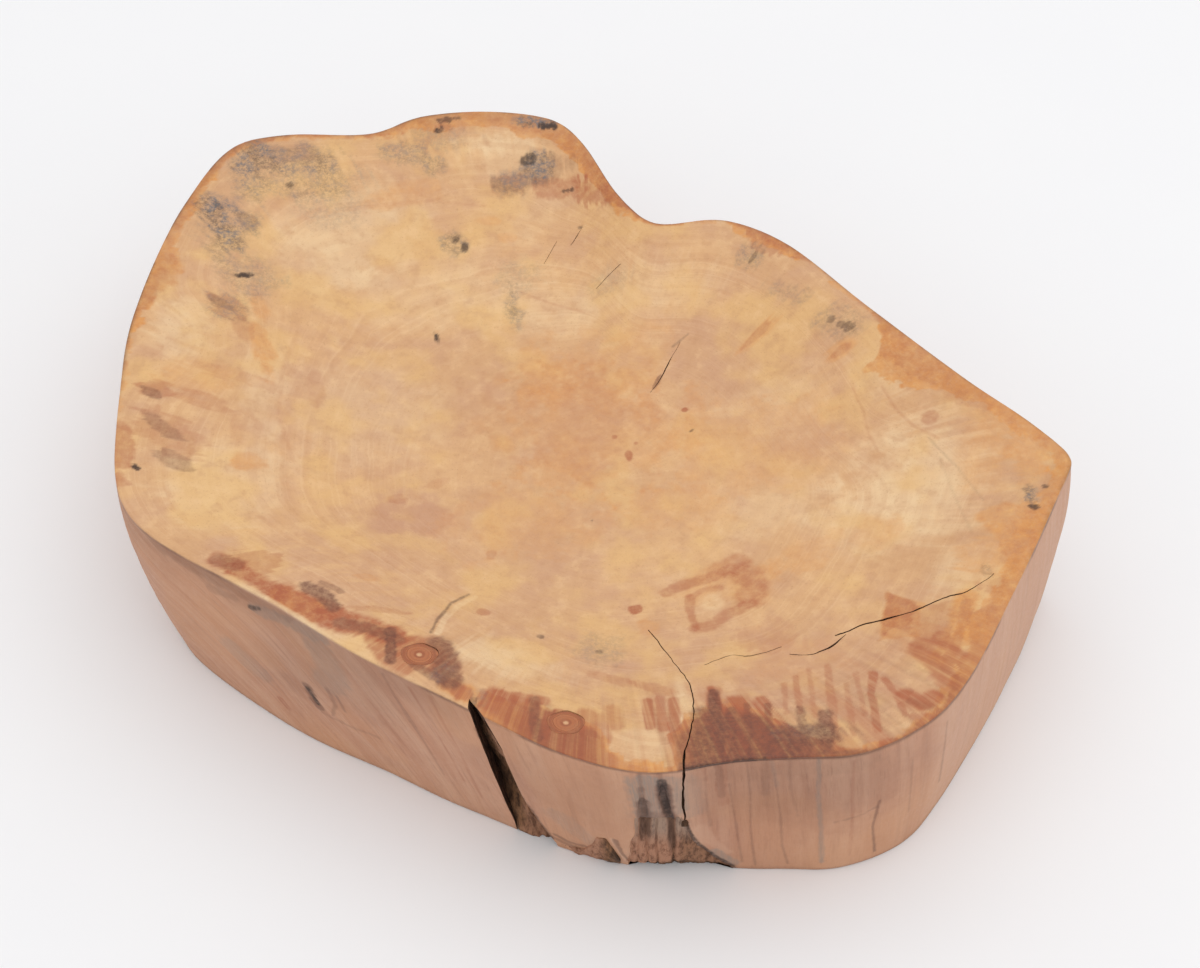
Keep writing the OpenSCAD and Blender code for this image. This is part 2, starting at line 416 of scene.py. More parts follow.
def streak_point(x, y, z, theta):
    """A point whose x and y follow a fibre: fibres run down the wall, and in over the rim."""
    inside = np.maximum(wall_radius(theta, z) - np.hypot(x - CENTRE[0], y - CENTRE[1]), 0)
    down = TOP - z
    shift = np.interp(theta, np.radians(LEAN[:, 0]), LEAN[:, 1]) * down
    px, py = from_polar(theta, rim_radius(theta))
    return xyz(px + shift * np.sin(theta), py - shift * np.cos(theta), np.where(down > 1.5, -down, inside))


def rough_wall(p, theta):
    """The side wall's waves and long shallow fibre grooves."""
    wave = 0.45 * fbm(p, 26, 2, 21, (1, 1, 2.5))
    groove = 0.14 * fbm(streak_point(*p.T, theta), 3.2, 3, 31, (1, 1, 14))
    edge = smooth(0, 4, TOP - p[:, 2]) * smooth(0, 2.5, p[:, 2])
    out = (wave - 0.1) * (0.3 + 0.7 * edge) + groove * edge
    return p + xyz(out * np.cos(theta), out * np.sin(theta))


# ---------------------------------------------------------------- cuts in the wood

BARE_WOOD, CUT_DARK, CUT_FISSURE = 0, 1, 2  # material slots of the faces that cuts leave


def place(local_x, local_y, origin, angle):
    """Turns local plan coordinates, with x pointing into the wood, into the bowl's frame."""
    c, s = math.cos(angle), math.sin(angle)
    return origin[0] + local_x * c - local_y * s, origin[1] + local_x * s + local_y * c


def fissure_section(t):
    """Origin, mouth width and depth of the fissure at t, 0 at the foot and 1 at the rim."""
    origin = FISSURE_FOOT + (FISSURE_TOP - FISSURE_FOOT) * t
    width = FISSURE_WIDTH[0] + (FISSURE_WIDTH[1] - FISSURE_WIDTH[0]) * max(t, 0) ** 0.85
    return origin, width, FISSURE_DEPTH[0] + (FISSURE_DEPTH[1] - FISSURE_DEPTH[0]) * t


def fissure_sides(d, z):
    """The fissure's left and right faces, as sideways distances, at depths d and one height z."""
    _, width, depth = fissure_section(np.clip(z / TOP, -0.05, 1.05))
    taper = 1 - d / depth
    probe = xyz(d, 40.0, z)
    rough = smooth(-3, 2, d) * smooth(0, 0.2, taper)
    left = width / 2 * taper + 0.35 * fbm(probe, 9, 3, 51) * rough
    right = -width / 2 * taper + 0.5 * fbm(probe * [1, -1, 1], 6, 3, 52) * rough
    return np.maximum(left, right + 0.05), right


def fissure_cutter():
    loops = []
    for z in np.arange(-2, TOP + 2.5, 0.9):
        origin, _, depth = fissure_section(np.clip(z / TOP, -0.05, 1.05))
        d = -6 + (depth + 6) * np.linspace(0, 1, 26)
        left, right = fissure_sides(d, z)
        there_and_back = np.concatenate([d, d[::-1]]), np.concatenate([left, right[::-1]])
        loops.append(xyz(*place(*there_and_back, origin, FISSURE_DIR), z))
    return loft("fissure_cut", loops, CUT_FISSURE)


PATH_STEP = 0.6  # mm between a crack's sections

# Corners of a crack's section: side of the path, how far out as a share of its width, and height
# above the surface, or None for the crack's own depth
CRACK_SECTION = [
    (-1, 0.56, 2.0), (1, 0.56, 2.0), (1, 0.42, -1.0), (1, 0.08, None), (-1, 0.08, None), (-1, 0.42, -1.0),
]


def crack_cutter(name, points, widths, depths, wander, seed):
    """A thin ragged V-shaped crack along a path on the top. widths and depths run along the path."""
    path = along(points, PATH_STEP)
    share = np.linspace(0, 1, len(path))
    s = np.arange(len(path)) * PATH_STEP
    fat = np.maximum(1 + 0.55 * fbm(xyz(s, 9.0), 5, 2, seed + 5), 0.25)
    width = np.interp(share, np.linspace(0, 1, len(widths)), widths) * fat
    depth = np.interp(share, np.linspace(0, 1, len(depths)), depths)
    normal = path_normal(path)
    mid = path + normal * (wander * fbm(xyz(s), 9, 4, seed))[:, None]
    surface = top_height(*mid.T)
    loops = []
    for side, spread, height in CRACK_SECTION:
        xy = mid + normal * (side * spread * width)[:, None]
        loops.append(xyz(*xy.T, surface + (-depth if height is None else height)))
    return loft(name, np.stack(loops, 1), CUT_DARK)


SEAM_PATH = [
    (28, -150), (28, -143), (28.2, -136), (30.2, -124), (31, -112), (29, -102), (25, -93), (21, -85),
    (18.5, -81),
]


def seam_middle(z):
    """X of the seam where it comes down the wall."""
    down = (TOP - z) / (TOP - SEAM_ELBOW_Z)
    return 27.7 + 0.9 * down ** 2 + 0.3 * fbm(xyz(3.0, 0.0, z), 9, 2, 61)


def seam_cutter():
    """The seam is deep where it runs down the wall, and fades out across the top."""
    path = along(SEAM_PATH, PATH_STEP)
    normal = path_normal(path)
    s = np.arange(len(path)) * PATH_STEP
    inside = path[:, 1] - SEAM_PATH[1][1]
    width = 0.62 - 0.36 * smooth(4, 9, inside) - 0.06 * smooth(10, 62, inside)
    surface = top_height(path[:, 0], np.maximum(path[:, 1], -139))
    low = surface - 2 + 1.3 * smooth(20, 62, inside)
    bottom = SEAM_ELBOW_Z - 2.5 + (low - SEAM_ELBOW_Z + 2.5) * smooth(10, 15, inside)
    wander = 0.5 * fbm(xyz(s, 7.0), 11, 3, 67) * smooth(4, 12, inside)
    on_wall = smooth(16, 4, inside)
    heights = np.linspace(0, 1, 60)
    loops = []
    for k in range(len(path)):
        z = bottom[k] + (surface[k] + 3 - bottom[k]) * heights
        probe = xyz(s[k], 3.0, z)
        shift = wander[k] + 0.12 * fbm(probe, 2.2, 1, 66) - (seam_middle(z) - SEAM_PATH[0][0]) * on_wall[k]
        half = width[k] / 2 * (1 + 0.35 * fbm(probe + 40, 5, 2, 63)) * smooth(-0.02, 0.05, heights)
        left = np.column_stack([path[k] + normal[k] * (shift + half)[:, None], z])
        right = np.column_stack([path[k] + normal[k] * (shift - half - 0.04)[:, None], z])
        loops.append(np.vstack([left, right[::-1]]))
    return loft("seam_cut", loops, CUT_DARK)


# The pocket's outline on the wall: height, left edge, right edge and depth behind the wall
POCKET = np.array([
    (-1, 12.5, 44.5, 9), (2, 12.5, 43, 8.6), (5, 12.6, 40.5, 8), (9, 12.7, 38, 7), (14, 12.9, 35.3, 5.4),
    (20, 13.2, 32.6, 4), (27, 13.8, 30.1, 2.6), (33, 14.3, 28.7, 1.2), (38, 14.8, 26.8, 0.2),
    (42, 15.5, 24.8, 0), (54, 16, 24, 0),
])
# Two pointed grooves above the pocket: height, middle and half width on the wall, and depth
GROOVE_1 = np.array([(35, 17, 2.4, 0.5), (42, 16.5, 1.9, 0.6), (48, 16.1, 1.1, 0.4), (52, 16, 0.4, 0)])
GROOVE_2 = np.array([
    (35, 24.4, 1.1, 0.6), (42, 23.2, 1.6, 0.9), (48, 22.2, 1.7, 0.9), (54, 21.6, 1, 0.6), (58, 21.3, 0.3, 0),
])


def table_at(z, table):
    return [np.interp(z, table[:, 0], column) for column in table.T[1:]]


def pocket_edges(z):
    left, right, deep = table_at(z, POCKET)
    return left + 0.7 * fbm(xyz(z), 7, 3, 71), right + 0.7 * fbm(xyz(z, 9.0), 7, 3, 72), deep


def pocket_depth(x, z):
    """Depth of the pocket behind the wall, and where x lies between its edges, 0 to 1."""
    left, right, deep = pocket_edges(z)
    across = (x - left) / np.maximum(right - left, 0.1)
    ragged = fbm(xyz(x, z * 0.14), 2.4, 3, 73)
    depth = deep * smooth(0, 0.13, across) * smooth(1, 0.93, across) * (1 + 0.16 * ragged)
    for table, seed in ((GROOVE_1, 171), (GROOVE_2, 172)):
        middle, half, groove = table_at(z, table)
        low, high = table[0, 0], table[-1, 0]
        off = np.abs(x - middle - 0.35 * fbm(xyz(z), 6, 2, seed)) / np.maximum(half, 0.2)
        shape = smooth(1.0, 0.35, off) * smooth(low, low + 6, z) * (1 + 0.3 * ragged)
        depth = np.maximum(depth, ((z > low) & (z < high)) * groove * shape)
    return depth, across


BARK_ROOM = 0.42  # how much deeper the pocket is cut, for the bark's back


def cavity(depth):
    """How far the cut goes for a pocket of a given depth."""
    return depth + BARK_ROOM * smooth(0.0, 0.6, depth)


FRONT_Y = -135.0  # about where the front wall is


def wall_y(x, z):
    """Y of the front wall at x and z, found by stepping the wall's radius."""
    y = np.full_like(np.asarray(x, float), FRONT_Y)
    for _ in range(6):
        theta, radius = polar(x, y)
        y = y + (radius - wall_radius(theta, z))
    return y


def pocket_cutter():
    xs = np.linspace(8, 51, 120)
    loops = []
    for z in np.arange(-1.5, 57, 0.5):
        depth, _ = pocket_depth(xs, z)
        face = wall_y(xs, np.clip(z, 0, TOP))
        back = face + np.where(depth > 0.03, cavity(depth), -0.8)
        loops.append(xyz(np.concatenate([xs, xs[::-1]]), np.concatenate([back, face[::-1] - 6]), z))
    return loft("pocket_cut", loops, BARE_WOOD)


KNOT_LEAN = math.tan(math.radians(18))  # run towards the basin's middle per mm of depth
KNOT_TURN = np.linspace(0, 2 * math.pi, 96, endpoint=False)
KNOT_TAPER = 0.3  # share of the radius lost by the lower end


def knot_axis(name):
    """Top and lower end in plan of a knot's axis, from its CAD node's box, and the lower end's height."""
    low, high = BOXES[name]
    box_middle = (low[:2] + high[:2]) / 2
    inward = CENTRE - box_middle
    half_run = inward / np.linalg.norm(inward) * KNOT_LEAN * (high[2] - low[2]) / 2
    return box_middle - half_run, box_middle + half_run, low[2]


def knot_ring(middle, radius):
    """Plan points round a knot, slightly out of round."""
    r = radius * (1 + 0.06 * np.sin(2 * KNOT_TURN + 1) + 0.04 * np.sin(5 * KNOT_TURN))
    return middle[0] + r * np.cos(KNOT_TURN), middle[1] + r * np.sin(KNOT_TURN)


def knot_socket(name, radius):
    """The hole for a knot: straight down to the surface, then leaning in along the knot's axis."""
    top, end, low = knot_axis(name)
    surface = top_height(*top)
    loops = []
    for z, t in ((TOP + 3, 0), (surface, 0), ((surface + low) / 2, 0.5), (low, 1)):
        loops.append(xyz(*knot_ring(top + (end - top) * t, radius * (1 - KNOT_TAPER * t)), z))
    return loft(name + "_cut", loops, BARE_WOOD)


def cut(obj, cutters):
    """Cuts every cutter from obj and applies the result."""
    for mesh in cutters:
        tool = make_object(mesh.name, mesh)
        for material in SLOT_MATERIALS:
            mesh.materials.append(material)
        modifier = obj.modifiers.new("cut", "BOOLEAN")
        modifier.operation = "DIFFERENCE"
        modifier.solver = "MANIFOLD"
        modifier.object = tool
        tool.hide_render = True
    bpy.context.view_layer.update()
    result = bpy.data.meshes.new_from_object(obj.evaluated_get(bpy.context.evaluated_depsgraph_get()))
    obj.modifiers.clear()
    obj.data = result
    for mesh in cutters:
        bpy.data.objects.remove(bpy.data.objects[mesh.name])


# ---------------------------------------------------------------- node graphs


def linear(rgb):
    """Linear colour from sRGB values of 0 to 255."""
    c = np.asarray(rgb, float) / 255
    return (*np.where(c <= 0.04045, c / 12.92, ((c + 0.055) / 1.055) ** 2.4), 1.0)


class Graph:
    """A material's node graph. Each method adds one node and returns its output."""

    def __init__(self, name):
        self.material = bpy.data.materials.new(name)
        self.material.use_nodes = True
        self.tree = self.material.node_tree
        self.shader = self.tree.nodes["Principled BSDF"]
        position = self.tree.nodes.new("ShaderNodeTexCoord").outputs["Object"]
        self.mm = self.node("VectorMath", {0: position, "Scale": 1 / MM}, operation="SCALE")

    def node(self, kind, inputs, output=0, **settings):
        n = self.tree.nodes.new("ShaderNode" + kind)
        for key, value in settings.items():
            setattr(n, key, value)
        for key, value in inputs.items():
            if isinstance(value, bpy.types.NodeSocket):
                self.tree.links.new(value, n.inputs[key])
            else:
                n.inputs[key].default_value = value
        return n.outputs if output is None else n.outputs[output]

    def math(self, operation, *values):
        return self.node("Math", dict(enumerate(values)), operation=operation)

    def mul(self, a, b):
        return self.math("MULTIPLY", a, b)

    def step(self, value, low, high, out_low=0.0, out_high=1.0):
        """Value mapped from low..high to out_low..out_high, smoothly and clamped."""
        inputs = {"Value": value, "From Min": low, "From Max": high, "To Min": out_low, "To Max": out_high}
        return self.node("MapRange", inputs, interpolation_type="SMOOTHSTEP")

    def blend(self, share, a, b):
        """From number a to number b."""
        return self.node("Mix", {0: share, 2: a, 3: b}, data_type="FLOAT")

    def mix(self, share, a, b):
        """From colour a to colour b."""
        a, b = (linear(c) if isinstance(c, tuple) else c for c in (a, b))
        return self.node("Mix", {0: share, 6: a, 7: b}, output=2, data_type="RGBA")

    def layers(self, colour, *coats):
        """Lays each coat, a share and a colour, over what came before."""
        for share, coat in coats:
            colour = self.mix(share, colour, coat)
        return colour

    def noise(self, where, size, detail, rough):
        """Noise from 0 to 1. size is in mm."""
        inputs = {"Vector": where, "Scale": 1.0 / size, "Detail": detail, "Roughness": rough}
        return self.node("TexNoise", inputs)

    def noise_1d(self, value, size, detail):
        inputs = {"W": value, "Scale": 1.0 / size, "Detail": detail, "Roughness": 0.6}
        return self.node("TexNoise", inputs, noise_dimensions="1D")

    def warped(self, value, size, shift):
        """A distance pushed about by noise, so that rings waver."""
        return self.math("ADD", value, self.mul(self.noise(self.mm, size, 3, 0.5), shift))

    def scaled(self, where, x, y, z):
        return self.node("VectorMath", {0: where, 1: (x, y, z)}, operation="MULTIPLY")

    def vector_map(self, name):
        return self.node("Attribute", {}, output=1, attribute_name=name)

    def colour_map(self, name):
        """The four parts of a map."""
        whole = self.node("Attribute", {}, output=None, attribute_name=name)
        return (*self.node("SeparateColor", {0: whole[0]}, output=None), whole[3])

    def split(self, vector):
        return self.node("SeparateXYZ", {0: vector}, output=None)

    def finish(self, colour, roughness, height, distance, specular=0.35):
        """Connects the shader. height is 0 to 1 and distance, in mm, is how tall 1 is."""
        bump = self.node("Bump", {"Height": height, "Distance": distance * MM, "Strength": 1.0})
        for key, value in (("Base Color", colour), ("Roughness", roughness), ("Normal", bump)):
            self.tree.links.new(value, self.shader.inputs[key])
        self.shader.inputs["Specular IOR Level"].default_value = specular
        return self.material


# Colours in sRGB, 0 to 255. On the top:
PALE = (236, 205, 162)
TAN = (210, 164, 120)
GOLD = (221, 176, 128)
YELLOW = (226, 182, 120)
CREAM = (236, 196, 148)
PINK = (202, 156, 125)
RING_DARK = (190, 134, 92)
RING_LIGHT = (244, 212, 168)
RAY = (188, 136, 96)
SMUDGE = (190, 140, 102)
SPECK = (190, 138, 98)
PORE = (160, 110, 76)
AMBER = (216, 146, 74)
AMBER_DULL = (212, 154, 98)
AMBER_DEEP = (192, 120, 68)
AMBER_LIGHT = (232, 180, 108)
RED_BROWN = (170, 92, 58)
PURPLE_BROWN = (104, 62, 50)
MOULD = (104, 106, 110)
MOULD_BROWN = (118, 94, 74)
# On the wall:
WALL_ROSE = (188, 138, 110)
WALL_DEEP = (142, 96, 74)
WALL_LIGHT = (205, 163, 136)
WALL_CLOUD = (168, 120, 96)
WALL_AMBER = (204, 148, 104)
WALL_RED = (160, 92, 62)
WALL_MOULD = (142, 130, 120)
WALL_DARK = (96, 62, 48)
WALL_DUST = (206, 166, 140)
# Near black: grime, and painted shade deep in the pocket and along its right edge
GRIME_AND_SHADE = (54, 38, 32)


def bowl_wood():
    g = Graph("bowl_wood")
    reach, across, along_ray = g.split(g.vector_map("trunk"))
    streak = g.vector_map("streak")
    coat, red, dark, mould = g.colour_map("coat")
    wall, pale, pink, grime = g.colour_map("tone")

    slow = g.noise(g.mm, 48, 3, 0.5)
    cloud = g.noise(g.mm, 13, 4, 0.55)
    blotch = g.noise(g.mm, 5.5, 3, 0.6)
    fine = g.noise(g.mm, 1.6, 4, 0.65)
    grit = g.noise(g.mm, 0.55, 2, 0.6)
    yellow = g.noise(g.node("VectorMath", {0: g.mm, 1: (70, 20, 0)}, operation="ADD"), 24, 3, 0.55)
    wavy_reach = g.warped(reach, 16, 3.2)
    ring_line = g.step(g.noise_1d(wavy_reach, 3.4, 3), 0.34, 0.66)
    ring_fine = g.noise_1d(wavy_reach, 0.9, 2)
    ray_parts = {0: g.mul(across, 9.0), 1: g.mul(along_ray, 9.0), 2: g.mul(reach, 0.035)}
    ray = g.noise(g.node("CombineXYZ", ray_parts), 1.0, 3, 0.6)

    # End grain on the top. Rings are faint round the pith and clearer further out.
    seen = g.mul(g.step(reach, 20, 90, 0.35, 1.0), g.step(slow, 0.36, 0.6, 0.4, 1.0))
    top = g.layers(
        g.mix(g.step(slow, 0.38, 0.62), TAN, GOLD),
        (g.step(cloud, 0.42, 0.7, 0, 0.5), PINK),
        (g.mul(pink, 0.8), PINK),
        (g.mul(pale, g.step(cloud, 0.3, 0.6, 0.95, 0.7)), PALE),
        (g.mul(ring_line, g.mul(seen, 0.22)), RING_DARK),
        (g.mul(g.step(ring_fine, 0.5, 0.8, 0, 0.16), seen), RING_LIGHT),
        (g.step(ray, 0.5, 0.72, 0, 0.18), RAY),
        (g.step(yellow, 0.46, 0.66, 0, 0.6), YELLOW),
        (g.step(blotch, 0.5, 0.74, 0, 0.35), CREAM),
        (g.step(blotch, 0.5, 0.26, 0, 0.35), SMUDGE),
        (g.step(fine, 0.55, 0.8, 0, 0.35), SPECK),
        (g.step(grit, 0.58, 0.78, 0, 0.34), PORE),
    )

    # Varnish, stains and mould over it. At the front they run in streaks.
    coat_break = g.mul(coat, g.step(fine, 0.25, 0.6, 0.6, 1.0))
    front = g.step(g.split(g.mm)[1], -84, -108)
    run = g.blend(front, g.noise(g.mm, 4, 5, 0.7), g.noise(g.scaled(streak, 1, 1, 0.03), 2.4, 4, 0.65))
    amber = g.layers(
        g.mix(g.step(cloud, 0.35, 0.65), AMBER, AMBER_DULL),
        (g.step(run, 0.46, 0.7, 0, 0.6), AMBER_DEEP),
        (g.step(run, 0.46, 0.28, 0, 0.5), AMBER_LIGHT),
    )
    speckle = g.step(g.noise(g.mm, 1.5, 5, 0.8), 0.36, 0.64, 0.15, 0.95)
    top = g.layers(
        top,
        (g.mul(coat_break, 0.86), amber),
        (g.mul(red, g.step(run, 0.3, 0.62, 0.5, 1.0)), RED_BROWN),
        (g.mul(dark, g.step(fine, 0.3, 0.7, 0.55, 0.9)), PURPLE_BROWN),
        (g.mul(mould, speckle), g.mix(g.step(blotch, 0.4, 0.6), MOULD, MOULD_BROWN)),
    )

    # Long grain on the wall
    fibre_at = g.scaled(streak, 1, 1, 0.045)
    stripe = g.noise(fibre_at, 2.6, 4, 0.6)
    hair = g.noise(g.scaled(streak, 1, 1, 0.09), 0.6, 3, 0.6)
    side = g.layers(
        g.mix(g.step(g.noise(fibre_at, 11, 3, 0.5), 0.3, 0.7, 0, 0.6), WALL_ROSE, WALL_LIGHT),
        (g.step(stripe, 0.48, 0.76, 0, 0.36), WALL_DEEP),
        (g.step(hair, 0.5, 0.8, 0, 0.3), WALL_DEEP),
        (g.step(cloud, 0.5, 0.3, 0, 0.3), WALL_CLOUD),
        (g.mul(coat, 0.45), WALL_AMBER),
        # Paler wood, and painted light on the right-facing wall
        (g.mul(pale, 0.7), WALL_LIGHT),
        (g.mul(red, g.step(stripe, 0.3, 0.6, 0.3, 0.8)), WALL_RED),
        (g.mul(mould, g.step(hair, 0.3, 0.7, 0.5, 0.95)), WALL_MOULD),
        # Dark stains, and painted shade under the rim and in the pocket
        (g.mul(dark, 0.85), WALL_DARK),
        (g.step(fine, 0.55, 0.8, 0, 0.2), WALL_DUST),
    )
    # Grime, and painted shade deep in the pocket, laid over top and wall alike
    colour = g.mix(g.mul(grime, g.step(fine, 0.3, 0.55, 0.55, 0.92)), g.mix(wall, top, side), GRIME_AND_SHADE)

    shiny = g.mul(coat, g.math("SUBTRACT", 1.0, wall))
    roughness = g.blend(shiny, g.step(fine, 0.3, 0.7, 0.52, 0.68), g.step(cloud, 0.3, 0.7, 0.3, 0.44))
    top_bump = g.math("MULTIPLY_ADD", fine, 0.5, g.mul(coat_break, 0.4))
    top_bump = g.math("MULTIPLY_ADD", ring_line, -0.3, top_bump)
    side_bump = g.math("MULTIPLY_ADD", stripe, -0.9, g.mul(hair, -0.6))
    return g.finish(colour, roughness, g.blend(wall, top_bump, side_bump), 0.16)


def cut_material(name, light, deep, size):
    """Rough wood on the faces that a crack or the fissure leaves. Their dark colours are painted shade of the
    narrow gaps over the cut wood's own colour.
    """
    g = Graph(name)
    rough = g.noise(g.scaled(g.mm, 1, 1, 0.25), size, 5, 0.65)
    colour = g.mix(g.step(rough, 0.35, 0.68), deep, light)
    return g.finish(colour, g.step(rough, 0.2, 0.8, 0.95, 0.7), rough, 0.5, 0.2)


def bark_material():
    g = Graph("bark")
    shade_and_stain, crest, haze, _ = g.colour_map("tone")
    fibre = g.noise(g.scaled(g.mm, 1, 1, 0.22), 1.6, 5, 0.7)
    flake = g.noise(g.mm, 4.5, 4, 0.6)
    colour = g.layers(
        g.mix(g.step(fibre, 0.34, 0.64), (64, 44, 32), (138, 98, 68)),
        (g.step(flake, 0.5, 0.72, 0, 0.45), (146, 108, 80)),
        (g.mul(crest, 0.9), g.mix(g.step(fibre, 0.32, 0.56), (122, 82, 62), (178, 130, 104))),
        # Painted shade in the gaps and recesses, and dark stain, both from the tone map's first part
        (g.mul(shade_and_stain, 0.86), (48, 36, 30)),
        (haze, g.mix(g.step(fibre, 0.3, 0.6), (112, 92, 82), (158, 132, 114))),
    )
    return g.finish(colour, g.step(fibre, 0.2, 0.8, 0.95, 0.75), fibre, 0.45, 0.2)


def knot_material():
    g = Graph("knot_wood")
    reach = g.split(g.vector_map("trunk"))[0]
    ring = g.step(g.noise_1d(g.warped(reach, 3, 0.9), 1.05, 2), 0.36, 0.62)
    cloud = g.noise(g.mm, 3.2, 4, 0.6)
    colour = g.layers(
        g.mix(ring, (184, 114, 74), (158, 90, 58)),
        (g.step(reach, 1.1, 0.3, 0, 0.8), (228, 184, 140)),
        (g.step(cloud, 0.45, 0.7, 0, 0.6), (176, 116, 80)),
        (g.mul(g.step(reach, 4.0, 4.9), g.step(cloud, 0.35, 0.6, 0.15, 0.6)), (140, 84, 58)),
    )
    return g.finish(colour, g.step(cloud, 0.3, 0.7, 0.42, 0.58), ring, 0.12)


def ground_material():
    g = Graph("backdrop")
    fine = g.noise(g.mm, 60, 3, 0.5)
    colour = g.mix(fine, (243, 243, 244), (241, 241, 243))
    return g.finish(colour, g.step(fine, 0, 1, 0.9, 0.95), fine, 0.001, 0.1)


# ---------------------------------------------------------------- where stains, varnish and rings lie

PATCH_SOFTNESS = {"pale": 0.6, "pink": 0.6, "mould": 0.4, "coat": 0.3, "grime": 0.35}

# What is left of the old varnish round the rim: angle in degrees, width of the band in mm, then how
# red and how dark it has turned, 0 to 1. Angles run round the basin's middle from +X.
RIM_COAT = np.array([
    (-180, 0.6, 0.4, 0.4), (-172, 0.8, 0.5, 0.4), (-163, 0, 0.5, 0.2), (-157, 0, 0.2, 0), (-106, 0, 0.4, 0),
    (-104, 9, 0.4, 0), (-100, 12, 0.7, 0.15), (-95, 15, 0.95, 0.4), (-90, 15, 0.95, 0.3),
    (-87, 8, 0.7, 0.15), (-84, 3, 0.3, 0), (-78.5, 1.5, 0.2, 0), (-77, 20, 0.7, 0.6), (-70, 24, 0.9, 0.8),
    (-65, 22, 0.9, 0.75), (-61.5, 7, 0.7, 0.5), (-57, 1.4, 0.7, 0.4), (-52, 1.6, 0.7, 0.3),
    (-47, 3, 0.7, 0.3), (-43, 6, 0.5, 0.1), (-36, 8, 0.4, 0), (-30, 9, 0.35, 0), (-18, 8, 0.2, 0),
    (-12, 6, 0.1, 0.05), (-7, 7, 0.1, 0.1), (-3, 7, 0.15, 0), (3, 6, 0.2, 0), (7, 10, 0.25, 0.1),
    (13, 14, 0.3, 0.05), (19, 15, 0.35, 0), (21, 8, 0.35, 0.1), (26, 3.5, 0.4, 0.2), (32, 1.2, 0.4, 0.3),
    (45, 1.2, 0.5, 0.3), (52, 4, 0.7, 0.2), (57, 5, 0.6, 0.1), (64, 1, 0.4, 0.2), (76, 1.4, 0.5, 0.1),
    (82, 5, 0.7, 0.1), (88, 10, 0.6, 0.1), (93, 14, 0.3, 0.1), (98, 9, 0.25, 0.2), (103, 6, 0.2, 0.15),
    (110, 8, 0.25, 0.2), (115, 4, 0.35, 0.25), (121, 1.6, 0.5, 0.35), (127, 3, 0.45, 0.4),
    (134, 3, 0.45, 0.4), (140, 5, 0.4, 0.2), (147, 4, 0.2, 0.1), (153, 9, 0.2, 0.1), (159, 4, 0.3, 0.15),
    (166, 1.2, 0.4, 0.3), (180, 0.6, 0.4, 0.4),
])

